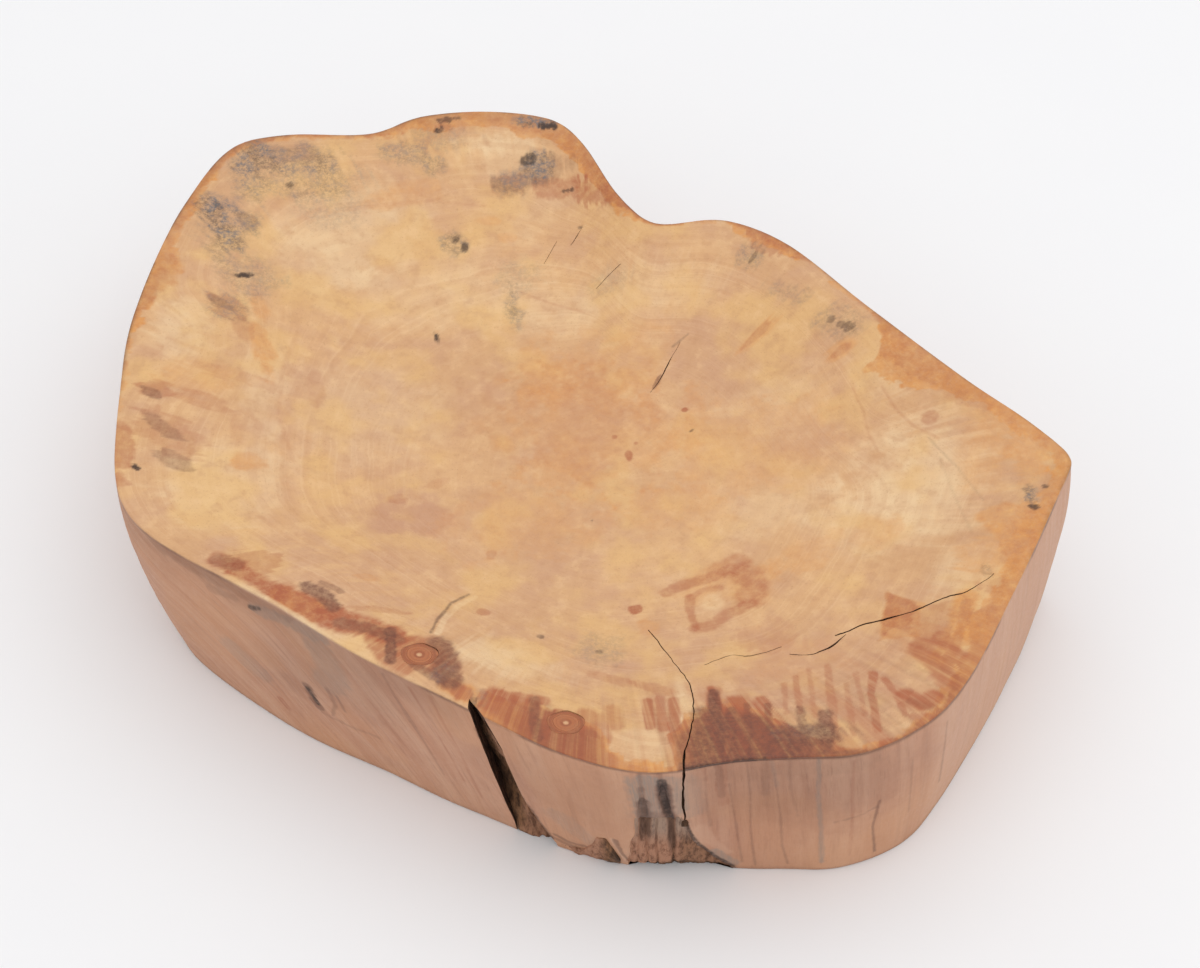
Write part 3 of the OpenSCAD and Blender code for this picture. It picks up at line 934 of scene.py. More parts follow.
# Oval patches on the top, by kind: x, y, half length, half width, turn in degrees, strength
PATCHES = {
    "mould": [
        (-117, 117, 9, 8, 60, 0.9), (-102, 119, 16, 7, 0, 0.6), (-128, 90, 5, 10, 20, 1),
        (-122, 78, 6, 8, 30, 0.8), (-116, 88, 6, 7, 0, 0.5), (-114, 62, 11, 11, 0, 0.4),
        (-17, 118, 6, 6, 0, 0.9), (-18, 137, 8, 2.6, -8, 1), (-65, 122, 9, 5, 0, 0.5),
        (-54, 118, 4, 4, 0, 0.5), (-27, 112, 7, 6, 0, 0.6), (-46, 88, 6, 5, 20, 0.6),
        (-25, 59, 3, 10, 5, 0.5), (-24, 72, 9, 10, 0, 0.25), (-119, 46, 8, 7, -30, 0.45),
        (136, -40, 2.4, 4.4, 0, 0.85), (119, -69, 2, 4, 0, 0.45), (83, 37, 9, 6, -30, 0.35),
        (66, 53, 8, 4, -30, 0.3), (55, 69, 5, 5, 0, 0.45), (4, -90, 9, 8, 0, 0.3),
        (-40, -108, 4, 4, 0, 0.3), (-30, -117, 2.5, 3.5, 0, 0.3), (61, -128, 9, 4, 3, 0.2),
        (-129, 91, 5, 7, 20, 0.6), (-52, 130, 12, 5, 0, 0.3), (-90, 100, 14, 10, 0, 0.25),
        (8, 66, 8, 6, 0, 0.2), (-102, 109, 24, 8, 6, 0.4), (-118, 102, 12, 7, 60, 0.4),
        (-124, 84, 9, 14, 20, 0.3),
    ],
    "dark": [
        (62, -129, 12, 5, 3, 0.45), (37, -128, 2.6, 13, 0, 0.35), (-134, -10, 9, 3, -35, 0.45),
        (-128, -25, 8, 3, -30, 0.45), (-138, 3, 4, 2, -30, 0.55), (-116, 88, 4, 4, 0, 0.4),
        (23.5, 25.6, 0.9, 4.2, -28, 0.7), (-14, 117, 9, 6, 10, 0.3), (-121, 47, 5, 2, -30, 0.4),
        (-27, 112, 8, 4, 0, 0.3), (-108, 121, 16, 4, 0, 0.2),
    ],
    "red": [
        (42, -125, 14, 11, 5, 0.5), (88, -98, 8, 10, 0, 0.12), (-98, -66, 9, 5, -20, 0.4),
        (-9, 10, 30, 24, 0, 0.16), (-57, -35, 13, 9, 10, 0.12), (52, -84, 12, 7, 0, 0.2),
        (-52, 130, 14, 6, 0, 0.2), (-10, 109, 10, 4, -10, 0.5), (1, 103, 9, 4, -50, 0.55),
        (-28, 111, 7, 5, 0, 0.3), (57, 40, 7, 1.8, 40, 0.35), (83, 27, 4, 1.8, 25, 0.35),
        (60, 72, 6, 3, -40, 0.4), (15.5, -72.5, 2.2, 2, 0, 0.85), (-30.5, -76.7, 2.4, 2, 0, 0.5),
        (-29, -50, 2, 2, 0, 0.3), (109, -3.5, 2.6, 2.2, 0, 0.4), (32, 13, 1.2, 1.2, 0, 0.8),
        (13.5, -6, 1.6, 3.6, 10, 0.7), (9, 2, 1.2, 1.2, 0, 0.5), (16, -1, 1, 1, 0, 0.5),
        (-132, -12, 15, 9, -35, 0.35), (-137, 5, 6, 4, 0, 0.5), (-144, -22, 4, 14, 5, 0.5),
        (-119, 46, 8, 5, -30, 0.4), (-113, 36, 6, 3, -60, 0.3), (-60, -83, 9, 1.2, 5, 0.3),
        (-122, 2, 9, 4, -20, 0.3), (-108, -8, 5, 9, 0, 0.2), (8, -103, 9, 2, -20, 0.3),
        (20, -107, 8, 2.5, -25, 0.35), (-60, -28, 3, 2, 0, 0.3), (-88, 15, 3, 10, 0, 0.2),
        (-47, -20, 5, 2, 30, 0.2), (-112, 14, 12, 3, -14, 0.2),
    ],
    "coat": [
        (5, 5, 34, 26, 0, 0.32), (-6, -12, 16, 14, 0, 0.3), (124, -20, 9, 22, -8, 0.4),
        (108, 16, 8, 8, 0, 0.4), (60, -96, 16, 10, 0, 0.2), (44, -62, 14, 9, 10, 0.35),
        (120, -62, 9, 12, -60, 0.55), (137, -24, 7, 12, 0, 0.55), (99, -96, 8, 9, 0, 0.5),
        (-141, 58, 8, 6, 60, 0.7), (-136, 93, 3, 5, 60, 0.6), (-106, 30, 3.5, 12, 12, 0.7),
        (-108, 47, 3, 8, 20, 0.5), (-106, -23, 5, 4, 0, 0.65), (-66, 104, 15, 4, 12, 0.4),
        (-60, 109, 10, 3, 10, 0.4), (-34, 97, 6, 2, 0, 0.5), (-28, 90, 3, 2, 0, 0.4),
        (-18, -35, 26, 17, 20, 0.3), (89, -44, 8, 7, 0, 0.4), (68, -50, 12, 8, 30, 0.35),
        (19, -79, 4, 4, 0, 0.65), (-65, -69, 4, 2.5, 0, 0.45), (57, 40, 9, 3, 40, 0.5),
        (83, 27, 6, 3, 25, 0.6), (52, -4, 32, 20, 10, 0.3), (8, 30, 22, 20, 10, 0.28),
        (-14, 30, 10, 20, 0, 0.35), (30, -30, 18, 10, 0, 0.25), (-124, 12, 14, 9, -10, 0.3),
    ],
    "pale": [
        (-72, 10, 26, 24, 0, 0.35), (-20, 62, 30, 12, 0, 0.4), (62, 12, 16, 14, 0, 0.35),
        (102, -28, 26, 24, 35, 0.95), (60, -30, 24, 12, 10, 0.4), (-84, 86, 30, 20, 30, 0.75),
        (-132, 34, 10, 16, 5, 0.8), (18, -131, 13, 9, -8, 0.5), (-112, -32, 20, 20, 8, 0.55),
        (-50, 68, 36, 20, 10, 0.35), (-24, -98, 18, 9, -10, 0.8), (-66, -97, 12, 4, -28, 0.5),
        (28, -118, 2.2, 17, 3, 0.9), (46, 11, 7, 3, 0, 0.5), (38.5, -69, 3.8, 3.4, 15, 1),
        (-37, 128, 16, 5, 0, 0.9), (-30, 121, 13, 7, 0, 0.5), (112, -66, 12, 9, 50, 0.6),
        (-10, 52, 16, 9, 0, 0.4), (96, 14, 10, 8, -30, 0.5), (-104, 10, 7, 30, 3, 0.5),
        (20, 62, 24, 10, 0, 0.45), (78, -40, 14, 14, 0, 0.4), (-20, 100, 14, 8, 0, 0.3),
    ],
    "pink": [
        (-56, -34, 14, 10, 0, 1), (-52, -38, 9, 7, 0, 0.7), (-85, 12, 26, 34, 0, 0.5),
        (22, -95, 44, 20, 0, 0.65), (-30, -60, 50, 30, 0, 0.35), (34, 34, 26, 20, 0, 0.4),
        (80, 4, 18, 22, 20, 0.35), (60, -110, 50, 26, 0, 0.8), (10, 20, 18, 26, 20, 0.4),
        (2, -22, 20, 16, 0, 0.3), (-76, -78, 40, 16, -28, 0.6),
    ],
    "grime": [
        (-50.4, 46, 1.2, 3.8, 18, 1), (-114.8, 62, 2.8, 1.2, 22, 1), (1.9, -34.4, 1, 1, 0, 0.8),
        (-45.4, 88.5, 2.6, 1.8, 30, 0.8), (-42.5, 87, 1.4, 2.8, 10, 0.8), (-25, 59, 1.3, 4, 0, 0.3),
        (-138.5, -29.3, 1.3, 3, 25, 1), (136, -45.7, 1.9, 2.6, 30, 0.9), (140.6, -36.5, 1, 1, 0, 0.7),
        (80.2, 38.7, 1.6, 1.6, 0, 0.5), (85.8, 34.6, 2.4, 1.8, 0, 0.6), (83, 36.5, 1.4, 1.4, 0, 0.5),
        (56, 68, 2.2, 1, 50, 0.5), (-7.1, 107.4, 2.6, 1.1, -10, 0.8), (-21, 121, 2.8, 2, 20, 0.8),
        (-53.5, 133, 2.4, 2.2, 0, 1), (-49, 139, 6, 1.4, 12, 0.7), (-13.5, 135, 4.5, 2.2, -10, 1),
        (-104, 107, 1.3, 1.1, 0, 0.7), (-13.3, -85.6, 1.8, 1.2, 10, 0.6), (4, -90.8, 1.2, 1, 0, 0.5),
        (-31.5, -119, 1.2, 2.4, 0, 0.5), (-2.2, 91, 1.4, 1, 0, 0.6), (-126, 93, 4, 1.6, -40, 0.4),
        (34, 4, 1.2, 0.5, 40, 0.6),
    ],
}

# Brush strokes on the top, by kind: half width, strength, then the points of the plan path
STROKES = {
    "red": [
        (1.7, 0.5, (24, -65), (30, -61.5), (37, -59), (45, -55)), (3.6, 0.35, (41, -56), (47, -53)),
        (4.4, 0.55, (49, -57), (51, -63), (49, -68)),
        (2.4, 0.5, (49, -70), (43, -74), (37, -79), (33, -80)),
        (1.4, 0.55, (33, -80), (31.5, -73), (31.5, -67)), (0.9, 0.4, (31.5, -67), (36, -63.5), (41, -63)),
        (3.4, 0.7, (-109, -66), (-103, -69)), (3, 0.85, (-104, -70), (-97, -74), (-90, -79)),
        (4.6, 0.85, (-90, -79), (-83, -83), (-76, -86)),
        (4.2, 0.9, (-76, -87), (-69, -90), (-61, -92), (-55, -94)),
        (3.4, 0.7, (-60, -96), (-57, -102), (-52, -107)), (6, 0.85, (-50, -98), (-45, -102)),
        (4.4, 0.6, (-43, -96), (-39, -108)), (2.6, 0.75, (-38, -113), (-34, -116)),
        (4.8, 0.75, (-25, -118), (-19, -123), (-13, -128)), (2.4, 0.7, (-25, -116), (-12, -116)),
        (4, 0.6, (1, -122), (4, -130)), (2.4, 0.5, (8, -117), (9, -125)), (1.2, 0.6, (-6, -137), (2, -139)),
        (1.6, 0.75, (18, -113), (18.5, -125)), (1.4, 0.6, (21.5, -112), (22, -126)),
        (1.7, 0.75, (25.5, -113), (25.5, -126)), (2.2, 0.8, (37.4, -139), (37, -109)),
        (3.6, 0.85, (43, -139), (43, -115)), (2.4, 0.8, (51, -138), (50.5, -114)),
        (5.5, 0.8, (57, -138), (66, -136)), (1, 0.5, (61, -120), (61, -103)),
        (0.9, 0.4, (57, -120), (57.5, -106)), (1.2, 0.45, (70, -132), (70.5, -99)),
        (0.8, 0.35, (65, -122), (65, -100)), (0.8, 0.35, (75, -130), (75, -108)),
        (1.2, 0.7, (83, -105), (81.5, -113), (82, -128)), (0.9, 0.6, (86, -108), (88.5, -116), (90, -123)),
        (0.8, 0.4, (78, -104), (79, -122)), (3.4, 0.7, (97, -97), (101, -106), (104, -113)),
        (2.4, 0.6, (103, -94), (107, -103)), (3, 0.85, (91, -116), (95, -119), (99, -117)),
        (1.2, 0.5, (92, -124), (98, -124)), (0.5, 0.25, (-22.5, 66.6), (-12.6, 62), (-1, 57)),
        (1.6, 0.4, (112, -82), (107, -98), (101, -112)),
        (0.4, 0.25, (86, 13), (89, 4), (90, -4), (93, -12)),
        (0.4, 0.25, (95, 11), (99, 2), (104, -5), (111, -11)),
        (0.6, 0.14, (-96, 40), (-99, 20), (-98, 0), (-92, -18)),
        (0.7, 0.15, (-90, 98), (-72, 101), (-52, 104), (-36, 103)),
    ],
    "dark": [
        (2.8, 0.4, (-109, -66), (-104, -68)), (2.4, 0.85, (-82, -76), (-77, -79), (-74, -83)),
        (1.1, 0.5, (-78, -74), (-72, -77)), (2.2, 0.6, (-71, -90), (-62, -92), (-54, -95)),
        (1.7, 0.9, (-56.4, -92), (-55.8, -98), (-55.6, -104)),
        (3.8, 0.75, (-42, -95), (-40, -103), (-38, -111)),
        (1.6, 0.6, (-49, -105), (-44, -109), (-38, -112)),
        (1.8, 0.6, (-14, -116), (-14, -124), (-13, -131)), (3.2, 0.65, (33, -141), (33, -119)),
        (1.7, 0.95, (37.4, -139), (37, -110)), (1.4, 0.6, (41, -139), (41.5, -118)),
        (1, 0.5, (46, -139), (46, -116)), (1, 0.55, (52, -138), (52, -116)),
        (5, 0.75, (57, -132), (66, -129)), (2.2, 0.8, (67, -135), (68, -121)),
        (1.6, 0.6, (61.5, -133), (61, -118)), (1.2, 0.25, (92, -118), (97, -121)),
        (2, 0.85, (28, -142), (36, -140), (48, -138.5), (60, -138)), (0.7, 0.5, (60, -137), (78, -136)),
    ],
    "coat": [
        (4, 1, (-89, -80), (-83, -83), (-78, -86)), (3.2, 1, (-38, -113), (-33, -116)),
        (2, 1, (-6, -136), (2, -138), (9, -140)), (1.6, 0.8, (14, -140), (17, -140)),
        (1.8, 0.9, (40, -133), (40.5, -131)), (2.5, 0.9, (121, -46), (128, -44), (136, -50)),
        (4.5, 0.9, (126, -50), (128, -60)), (3.4, 0.9, (112, -80), (109, -90), (103, -102)),
    ],
    "grime": [
        (1, 0.7, (29, -142), (37, -140.4), (50, -138.8)),
        (0.5, 0.6, (-45, -90), (-43.5, -83), (-40, -74), (-35, -69)),
        (0.4, 0.4, (28.7, 39.5), (33.8, 43.8)), (0.3, 0.2, (108, -10), (116, -23), (122, -39)),
        (0.3, 0.14, (111, -18), (117, -53)),
    ],
    "pale": [
        (1, 0.8, (-43, -90), (-41.5, -82), (-38, -75), (-33, -70)),
        (1.4, 0.6, (26.5, -141), (29.5, -126), (30, -112)),
    ],
}

# Closed stains on the top, by kind: strength, then the points of the outline
OUTLINES = {
    "red": [
        (0.6, (90, -71), (92, -73), (96, -76), (99, -80), (96, -84), (95, -89), (91, -86), (87, -90),
         (88, -82)),
        (0.35, (96, -80), (109, -80), (107, -92), (101, -104), (95, -98)),
    ],
    "coat": [
        (0.8, (90, -71), (100, -79), (97, -92), (86, -91)),
    ],
}

# Marks on the front of the wall, by kind: half width, strength, then points of x and height
WALL_STROKES = {
    "dark": [
        (1.5, 0.65, (-83.6, 32), (-82.5, 28), (-80.6, 23.5)),
        (0.6, 0.35, (-77, 36), (-75, 30), (-76.5, 22)), (0.4, 0.4, (-74, 35), (-72, 28)),
        # The wide stroke at heights 61 to 62, under the left front rim, is painted shade
        (0.7, 0.25, (-80, 21), (-71, 20.4), (-62, 22)), (3, 0.3, (-128, 62), (-108, 61), (-88, 62)),
        (1.6, 0.25, (-112, 55), (-104, 57)), (0.5, 0.3, (-58, 60), (-48, 36), (-42, 18)),
        (1.8, 0.9, (-29.2, 55), (-25.6, 44), (-20, 28), (-15.5, 16), (-11, 5)),
        (1.2, 0.5, (-12, 7), (-6, 4.5), (0, 5)), (0.8, 0.6, (-9, 9), (-5, 7), (0, 8)),
        (0.8, 0.7, (8.8, 21), (10.8, 13), (12.6, 8)), (2.2, 0.6, (16.4, 45), (17, 36), (18, 24)),
        (1, 0.4, (15.6, 53), (16.2, 46)), (2.2, 0.8, (21.9, 54), (23.2, 44), (24.6, 34), (26, 25)),
        (0.5, 0.4, (15.2, 62), (15.8, 52)), (0.5, 0.4, (20.8, 63), (21.3, 57)),
        (5.5, 0.4, (20, 36), (21, 22)), (0.3, 0.4, (45, 62), (46.8, 45), (47.9, 25), (50.5, 3)),
        (0.3, 0.35, (40.5, 52), (43.4, 30), (46.5, 5)),
        (0.3, 0.35, (53, 56), (55.9, 35), (57.6, 16), (60.1, 4)),
        (0.35, 0.65, (84.5, 36), (83.8, 22), (86, 5)), (0.3, 0.25, (93, 50), (95, 20)),
        (1.1, 0.3, (37, 62), (39, 46)), (1.2, 0.22, (50, 61), (51, 46)),
        (6, 0.16, (34, 60), (60, 60), (76, 61)), (16, 0.2, (44, 48), (62, 46), (76, 48)),
        (12, 0.22, (-88, 36), (-76, 44), (-66, 44)), (12, 0.14, (-16, 42), (-4, 36), (6, 42)),
        (12, 0.12, (58, 46), (72, 48)), (0.7, 0.8, (46, 63.4), (62, 63.4), (74, 63.4)),
        (0.4, 0.25, (33.5, 62), (34.2, 48), (36, 30)), (0.35, 0.2, (57, 62), (58, 48), (61, 34)),
        (0.5, 0.35, (72, 30), (84, 33)), (0.35, 0.35, (103, 56), (105, 20)),
    ],
    "grime": [
        (0.7, 0.9, (-83.4, 31), (-82.2, 28), (-81, 25)), (0.9, 0.8, (-99, 56), (-96.5, 57.5)),
        (0.9, 0.8, (-26, 44), (-20.8, 28), (-16, 15), (-12, 4)),
        (1.3, 0.5, (16.2, 46), (16.8, 40), (17.6, 30)),
        (1.3, 1, (21.5, 57.5), (22.2, 50), (23.4, 42), (24.8, 33), (26, 25)),
        # This stroke and the first on the next line follow the pocket's right edge: painted shade where the
        # wall steps back into it
        (0.35, 0.8, (29, 33), (30.8, 27), (33.4, 20), (36.2, 14), (39, 9), (42, 5), (44, 1.5)),
        (0.8, 0.6, (41, 5.5), (44, 2)), (0.8, 0.85, (29.5, 63.6), (38, 63.5), (47, 63.5)),
    ],
    "red": [
        (1.3, 0.7, (-94, 15), (-92, 12)), (0.5, 0.4, (-50, 60), (-42, 40), (-36, 20)),
        (0.6, 0.35, (-44, 60), (-36, 36), (-31, 14)), (1.6, 0.45, (38, 63), (38.6, 50), (40, 42)),
        (0.9, 0.35, (33, 63), (34, 55)), (14, 0.22, (44, 26), (66, 34), (78, 42)),
        (10, 0.16, (-70, 22), (-52, 30)), (0.5, 0.35, (75, 60), (77, 30), (78, 8)),
    ],
    "mould": [
        (2.4, 0.6, (-97, 56.5), (-88, 59), (-76, 61.5)), (5, 0.4, (-78, 55), (-74, 46), (-76, 40)),
        (4, 0.35, (-108, 30), (-100, 24)), (4, 0.3, (-8, 24), (2, 14)),
        (5, 0.85, (16.5, 56), (18, 42), (20, 30)), (3.2, 0.6, (24, 57), (26.5, 42)),
        (2, 0.7, (38, 13), (42, 7), (44, 4)), (0.6, 0.6, (65, 63), (66.1, 45), (68.8, 20), (70, 6)),
        (0.8, 0.3, (52, 62), (54, 50)), (4, 0.35, (29, 56), (29.5, 40)),
    ],
    "coat": [
        (7, 0.5, (-112, 42), (-98, 36)), (5, 0.4, (-72, 26), (-58, 16)), (10, 0.7, (78, 12), (96, 18)),
    ],
    "pale": [
        (0.6, 1, (7.9, 21), (9.7, 16), (11, 10.5), (12.4, 5)), (1.6, 0.6, (33, 30), (37, 20), (42, 12)),
    ],
}


def patch(x, y, kind, spec, coarse, fine):
    """1 in the middle of a patch, 0 outside, with a ragged edge."""
    px, py, a, b, turn, strength = spec
    c, s = math.cos(math.radians(turn)), math.sin(math.radians(turn))
    d = np.hypot(((x - px) * c + (y - py) * s) / a, (-(x - px) * s + (y - py) * c) / b)
    soft = PATCH_SOFTNESS.get(kind, 0.2)
    rough = 2.2 if kind == "grime" else 1.0
    ragged = d * (rough * 0.2 + 0.8) + rough * (0.4 * coarse + 0.2 * fine)
    return smooth(1 + soft / 2, 1 - soft, ragged) * strength


def stroke(x, y, kind, spec, coarse, fine):
    """A brush stroke along a path, with frayed sides."""
    half, strength, *path = spec
    fray = min(half, 0.35 + 0.3 * half)
    d = path_distance(x, y, path) + fray * (0.55 * coarse + 0.35 * fine)
    soft = max(0.32, half * (0.3 if half < 8 else 0.75))
    return smooth(half + soft, half - soft, d) * strength


def outline_mask(x, y, kind, spec, coarse, fine):
    """A stain inside a closed outline, with a crisp ragged edge."""
    strength, *path = spec
    path.append(path[0])
    inside = np.zeros(x.shape, bool)
    for (ax, ay), (bx, by) in zip(path[:-1], path[1:]):
        if ay != by:
            inside ^= ((ay > y) != (by > y)) & (x < (bx - ax) * (y - ay) / (by - ay) + ax)
    d = np.where(inside, -1, 1) * path_distance(x, y, path)
    return smooth(0.4, -0.5, d + 0.8 * coarse + 0.5 * fine) * strength


def shape_reach(spec):
    """Low and high corner of a box in the shape's own plane, outside which it has no effect."""
    path = np.array([part for part in spec if isinstance(part, tuple)], float)
    if not len(path):
        middle, reach = np.array(spec[:2], float), 2.4 * max(spec[2:4])
        return middle - reach, middle + reach
    margin = 3 * spec[0] + 2 if len(spec) - len(path) == 2 else 3
    return path.min(0) - margin, path.max(0) + margin


def join(mask, more):
    return 1 - (1 - mask) * (1 - np.clip(more, 0, 1))


def add_shapes(masks, where, a, b, shapes, coarse, fine):
    """Adds every shape of a table to its kind's mask, for the points that where picks out."""
    for table, shape_mask in shapes:
        for kind, specs in table.items():
            for spec in specs:
                low, high = shape_reach(spec)
                at = where & (a > low[0]) & (a < high[0]) & (b > low[1]) & (b < high[1])
                more = shape_mask(a[at], b[at], kind, spec, coarse[at], fine[at])
                masks[kind][at] = join(masks[kind][at], more)


def blocks(p, size):
    """Random steps of a given size, which give varnish its broken, blocky edge."""
    return lattice(*np.floor(p / np.array(size)).astype(np.int64).T, 77)


PITH = (6.0, -17.0)
# Lobes of the trunk that the rings bulge round: x, y, height and reach, all in mm
LOBES = [
    (-127, 26, 17, 17), (88, 2, 9, 14), (-5, 100, 8, 14), (-50, -98, 7, 10), (-5, -122, 7, 10),
]


def trunk_rings(x, y):
    """Distance from the pith counted in growth, and the direction: rings follow the trunk's lobes."""
    rx, ry = from_polar(RING_THETA, rim_radius(RING_THETA))
    rx, ry = rx - PITH[0], ry - PITH[1]
    angle, reach = np.arctan2(ry, rx), np.hypot(rx, ry)
    order = np.argsort(angle)
    steps = np.linspace(-math.pi, math.pi, 721)
    reach = interp_ring(steps, angle[order], reach[order])
    kernel = np.hanning(31)
    padded = np.concatenate([reach[-45:-1], reach, reach[1:45]])
    soft = np.convolve(padded, kernel / kernel.sum(), "same")[44:-44]
    theta, radius = np.arctan2(y - PITH[1], x - PITH[0]), np.hypot(x - PITH[0], y - PITH[1])
    limit = interp_ring(theta, steps, soft)
    shape = smooth(0.0, 0.9, radius / limit)
    mean = float(np.mean(reach))
    level = radius * ((1 - shape) / mean + shape / limit) * mean
    for lobe_x, lobe_y, height, lobe_reach in LOBES:
        level = level + height * np.exp(-((x - lobe_x) ** 2 + (y - lobe_y) ** 2) / (2 * lobe_reach ** 2))
    return level, theta


KINDS = ("coat", "red", "dark", "mould", "pale", "pink", "grime")


def paint(obj):
    """Writes the maps that the wood's material reads: trunk, streak, coat and tone."""
    mesh = obj.data
    p = vertex_positions(mesh)
    x, y, z = p.T
    theta, radius = polar(x, y)
    degrees = np.degrees(theta)
    inside = rim_distance(theta, radius)
    below = top_height(x, y) - z
    wall = smooth(0.35, 1.3, below)
    on_top = 1 - wall
    level, pith_theta = trunk_rings(x, y)
    streak = streak_point(x, y, z, theta)
    spot = xyz(x, y)
    masks = {kind: np.zeros(len(x)) for kind in KINDS}

    def add(kind, share, where=slice(None)):
        masks[kind][where] = join(masks[kind][where], share)

    def sector(start, full, full_end, end):
        return smooth(start, full, degrees) * smooth(end, full_end, degrees)

    def fibres(size, octaves, seed, length):
        return fbm(streak, size, octaves, seed, (1, 1, length))

    # The varnish band round the rim, broken into blocks, and its red and dark parts
    bent = degrees + 1.6 * fbm(spot, 10, 2, 33)
    width, redness, darkness = (np.interp(bent, RIM_COAT[:, 0], column) for column in RIM_COAT.T[1:])
    present = smooth(0.3, 1.5, width) * on_top
    ragged = inside + np.minimum(width, 9) * 0.4 * fbm(spot, 13, 3, 34)
    ragged = ragged + 1.1 * blocks(p, (5.5, 3.4, 400)) + 0.9 * fbm(spot, 1.8, 3, 35)
    masks["coat"] = smooth(width + 0.6, width - 0.5, ragged) * present
    ragged = inside * 1.05 + np.minimum(width, 9) * 0.45 * fbm(spot, 9, 3, 36)
    ragged = ragged + 1.2 * blocks(p + 100, (3.5, 4.5, 400)) + 0.8
    masks["red"] = smooth(width + 1.0, width - 0.8, ragged) * present * redness
    ragged = inside * 1.1 + np.minimum(width, 12) * 0.5 * fbm(spot, 9, 3, 37) + 1.5
    masks["dark"] = smooth(width + 2, width - 2, ragged) * present * darkness

    # Marks on the top. Their edges fray along the fibres near the rim.
    grain = smooth(45, 20, inside)
    coarse = (1 - grain) * fbm(spot, 7, 3, 91) + grain * fibres(3.0, 3, 93, 6)
    fine = (1 - grain) * fbm(spot, 1.8, 3, 92) + grain * fibres(1.0, 3, 94, 7)
    top_shapes = ((PATCHES, patch), (STROKES, stroke), (OUTLINES, outline_mask))
    add_shapes(masks, wall < 0.99, x, y, top_shapes, coarse, fine)

    # Faint radial stripes over the whole front right of the top, running on from the wall's fibres
    striped = sector(-90, -76, -50, -34) * smooth(46, 10, inside) * on_top
    add("red", 0.38 * smooth(-0.1, 0.5, fibres(3.6, 3, 41, 14)) * striped)
    add("dark", 0.2 * smooth(0.1, 0.6, fibres(2.0, 3, 48, 12)) * striped)

    # The wall: its marks, a darker band of painted shade under the left front rim, then paler and amber wood,
    # with painted light making the right-facing wall paler
    front = (wall > 0.3) & (y < -35)
    add_shapes(masks, front, x, z, ((WALL_STROKES, stroke),), fibres(2.6, 3, 95, 12), fbm(p, 1.6, 2, 96))
    left_front = sector(-178, -168, -115, -100) + smooth(176, 180, degrees)
    # Painted shade under the left front rim
    add("dark", 0.3 * smooth(16, 2, TOP - z + 4 * fibres(14, 2, 43, 4)) * wall * left_front)
    # Painted light: the right-facing wall made paler, as if lit from the right
    add("pale", 0.8 * sector(-56, -38, 40, 80) * wall)
    add("pale", 0.6 * smooth(1.2, 0.3, np.hypot((x - 33) / 4, (z - 24) / 12)) * wall * (y < -120))
    add("coat", (smooth(-0.2, 0.5, fbm(p, 30, 2, 44)) * 0.5 + 0.3 * smooth(22, 0, z)) * wall)

    # Painted shade inside the pocket, darker the further behind the wall, and a dark crease of painted shade
    # along its right edge
    pocket = front & (x > 9) & (x < 48) & (z < 50)
    px, pz = x[pocket], z[pocket]
    behind = y[pocket] - wall_y(px, pz)
    _, across = pocket_depth(px, pz)
    add("dark", 0.5 * smooth(0.8, 3.0, behind), pocket)
    add("grime", smooth(2.6, 4.0, behind), pocket)
    add("grime", 0.9 * smooth(0.95, 0.99, across) * smooth(1.055, 1.03, across) * smooth(36, 32, pz), pocket)

    # The rim: a dark hem of painted shade under it, the worn pale lip at the left front, a thin dark line at
    # the back
    hem = smooth(0.2, 0.7, below) * smooth(2.2, 1.0, below) * smooth(-0.9, 0.3, fbm(spot, 12, 3, 47))
    hem = 0.75 * hem * (1 - 0.7 * sector(-150, -146, -122, -118))
    add("dark", hem)
    add("grime", 0.12 * hem)
    lip = sector(-152, -146, -118, -112) * smooth(1.6, 0.7, inside) * smooth(2.0, 0.8, below)
    lip = lip * (1 - 0.7 * smooth(-136, -127, degrees))
    add("pale", lip)
    for kind in ("coat", "red", "dark"):
        masks[kind] *= 1 - 0.8 * lip
    # The wall darker over its lowest 2.5 mm
    add("grime", 0.3 * smooth(2.5, 0.2, z) * wall)
    line = smooth(1.3, 0.3, inside) * smooth(-0.6, 0.2, fbm(spot, 6, 3, 49)) * smooth(1.6, 0.4, below)
    add("grime", 0.6 * line * (sector(60, 85, 165, 178) + 0.5 * sector(-40, 0, 60, 80)))

    store(mesh, "trunk", "VECTOR", xyz(level + 0.05 * (TOP - z), np.cos(pith_theta), np.sin(pith_theta)))
    store(mesh, "streak", "VECTOR", streak)
    store(mesh, "coat", "COLOR", np.stack([masks[kind] for kind in ("coat", "red", "dark", "mould")], 1))
    store(mesh, "tone", "COLOR", np.stack([wall] + [masks[kind] for kind in ("pale", "pink", "grime")], 1))


# ---------------------------------------------------------------- the body, cut and painted

SLOT_MATERIALS = [
    bowl_wood(),
    cut_material("cut_dark", (104, 70, 50), (62, 40, 30), 1.2),
    cut_material("cut_fissure", (104, 72, 54), (46, 30, 24), 1.6),
]
KNOT_RADIUS = 5.0
SOCKET_RADIUS = 5.02

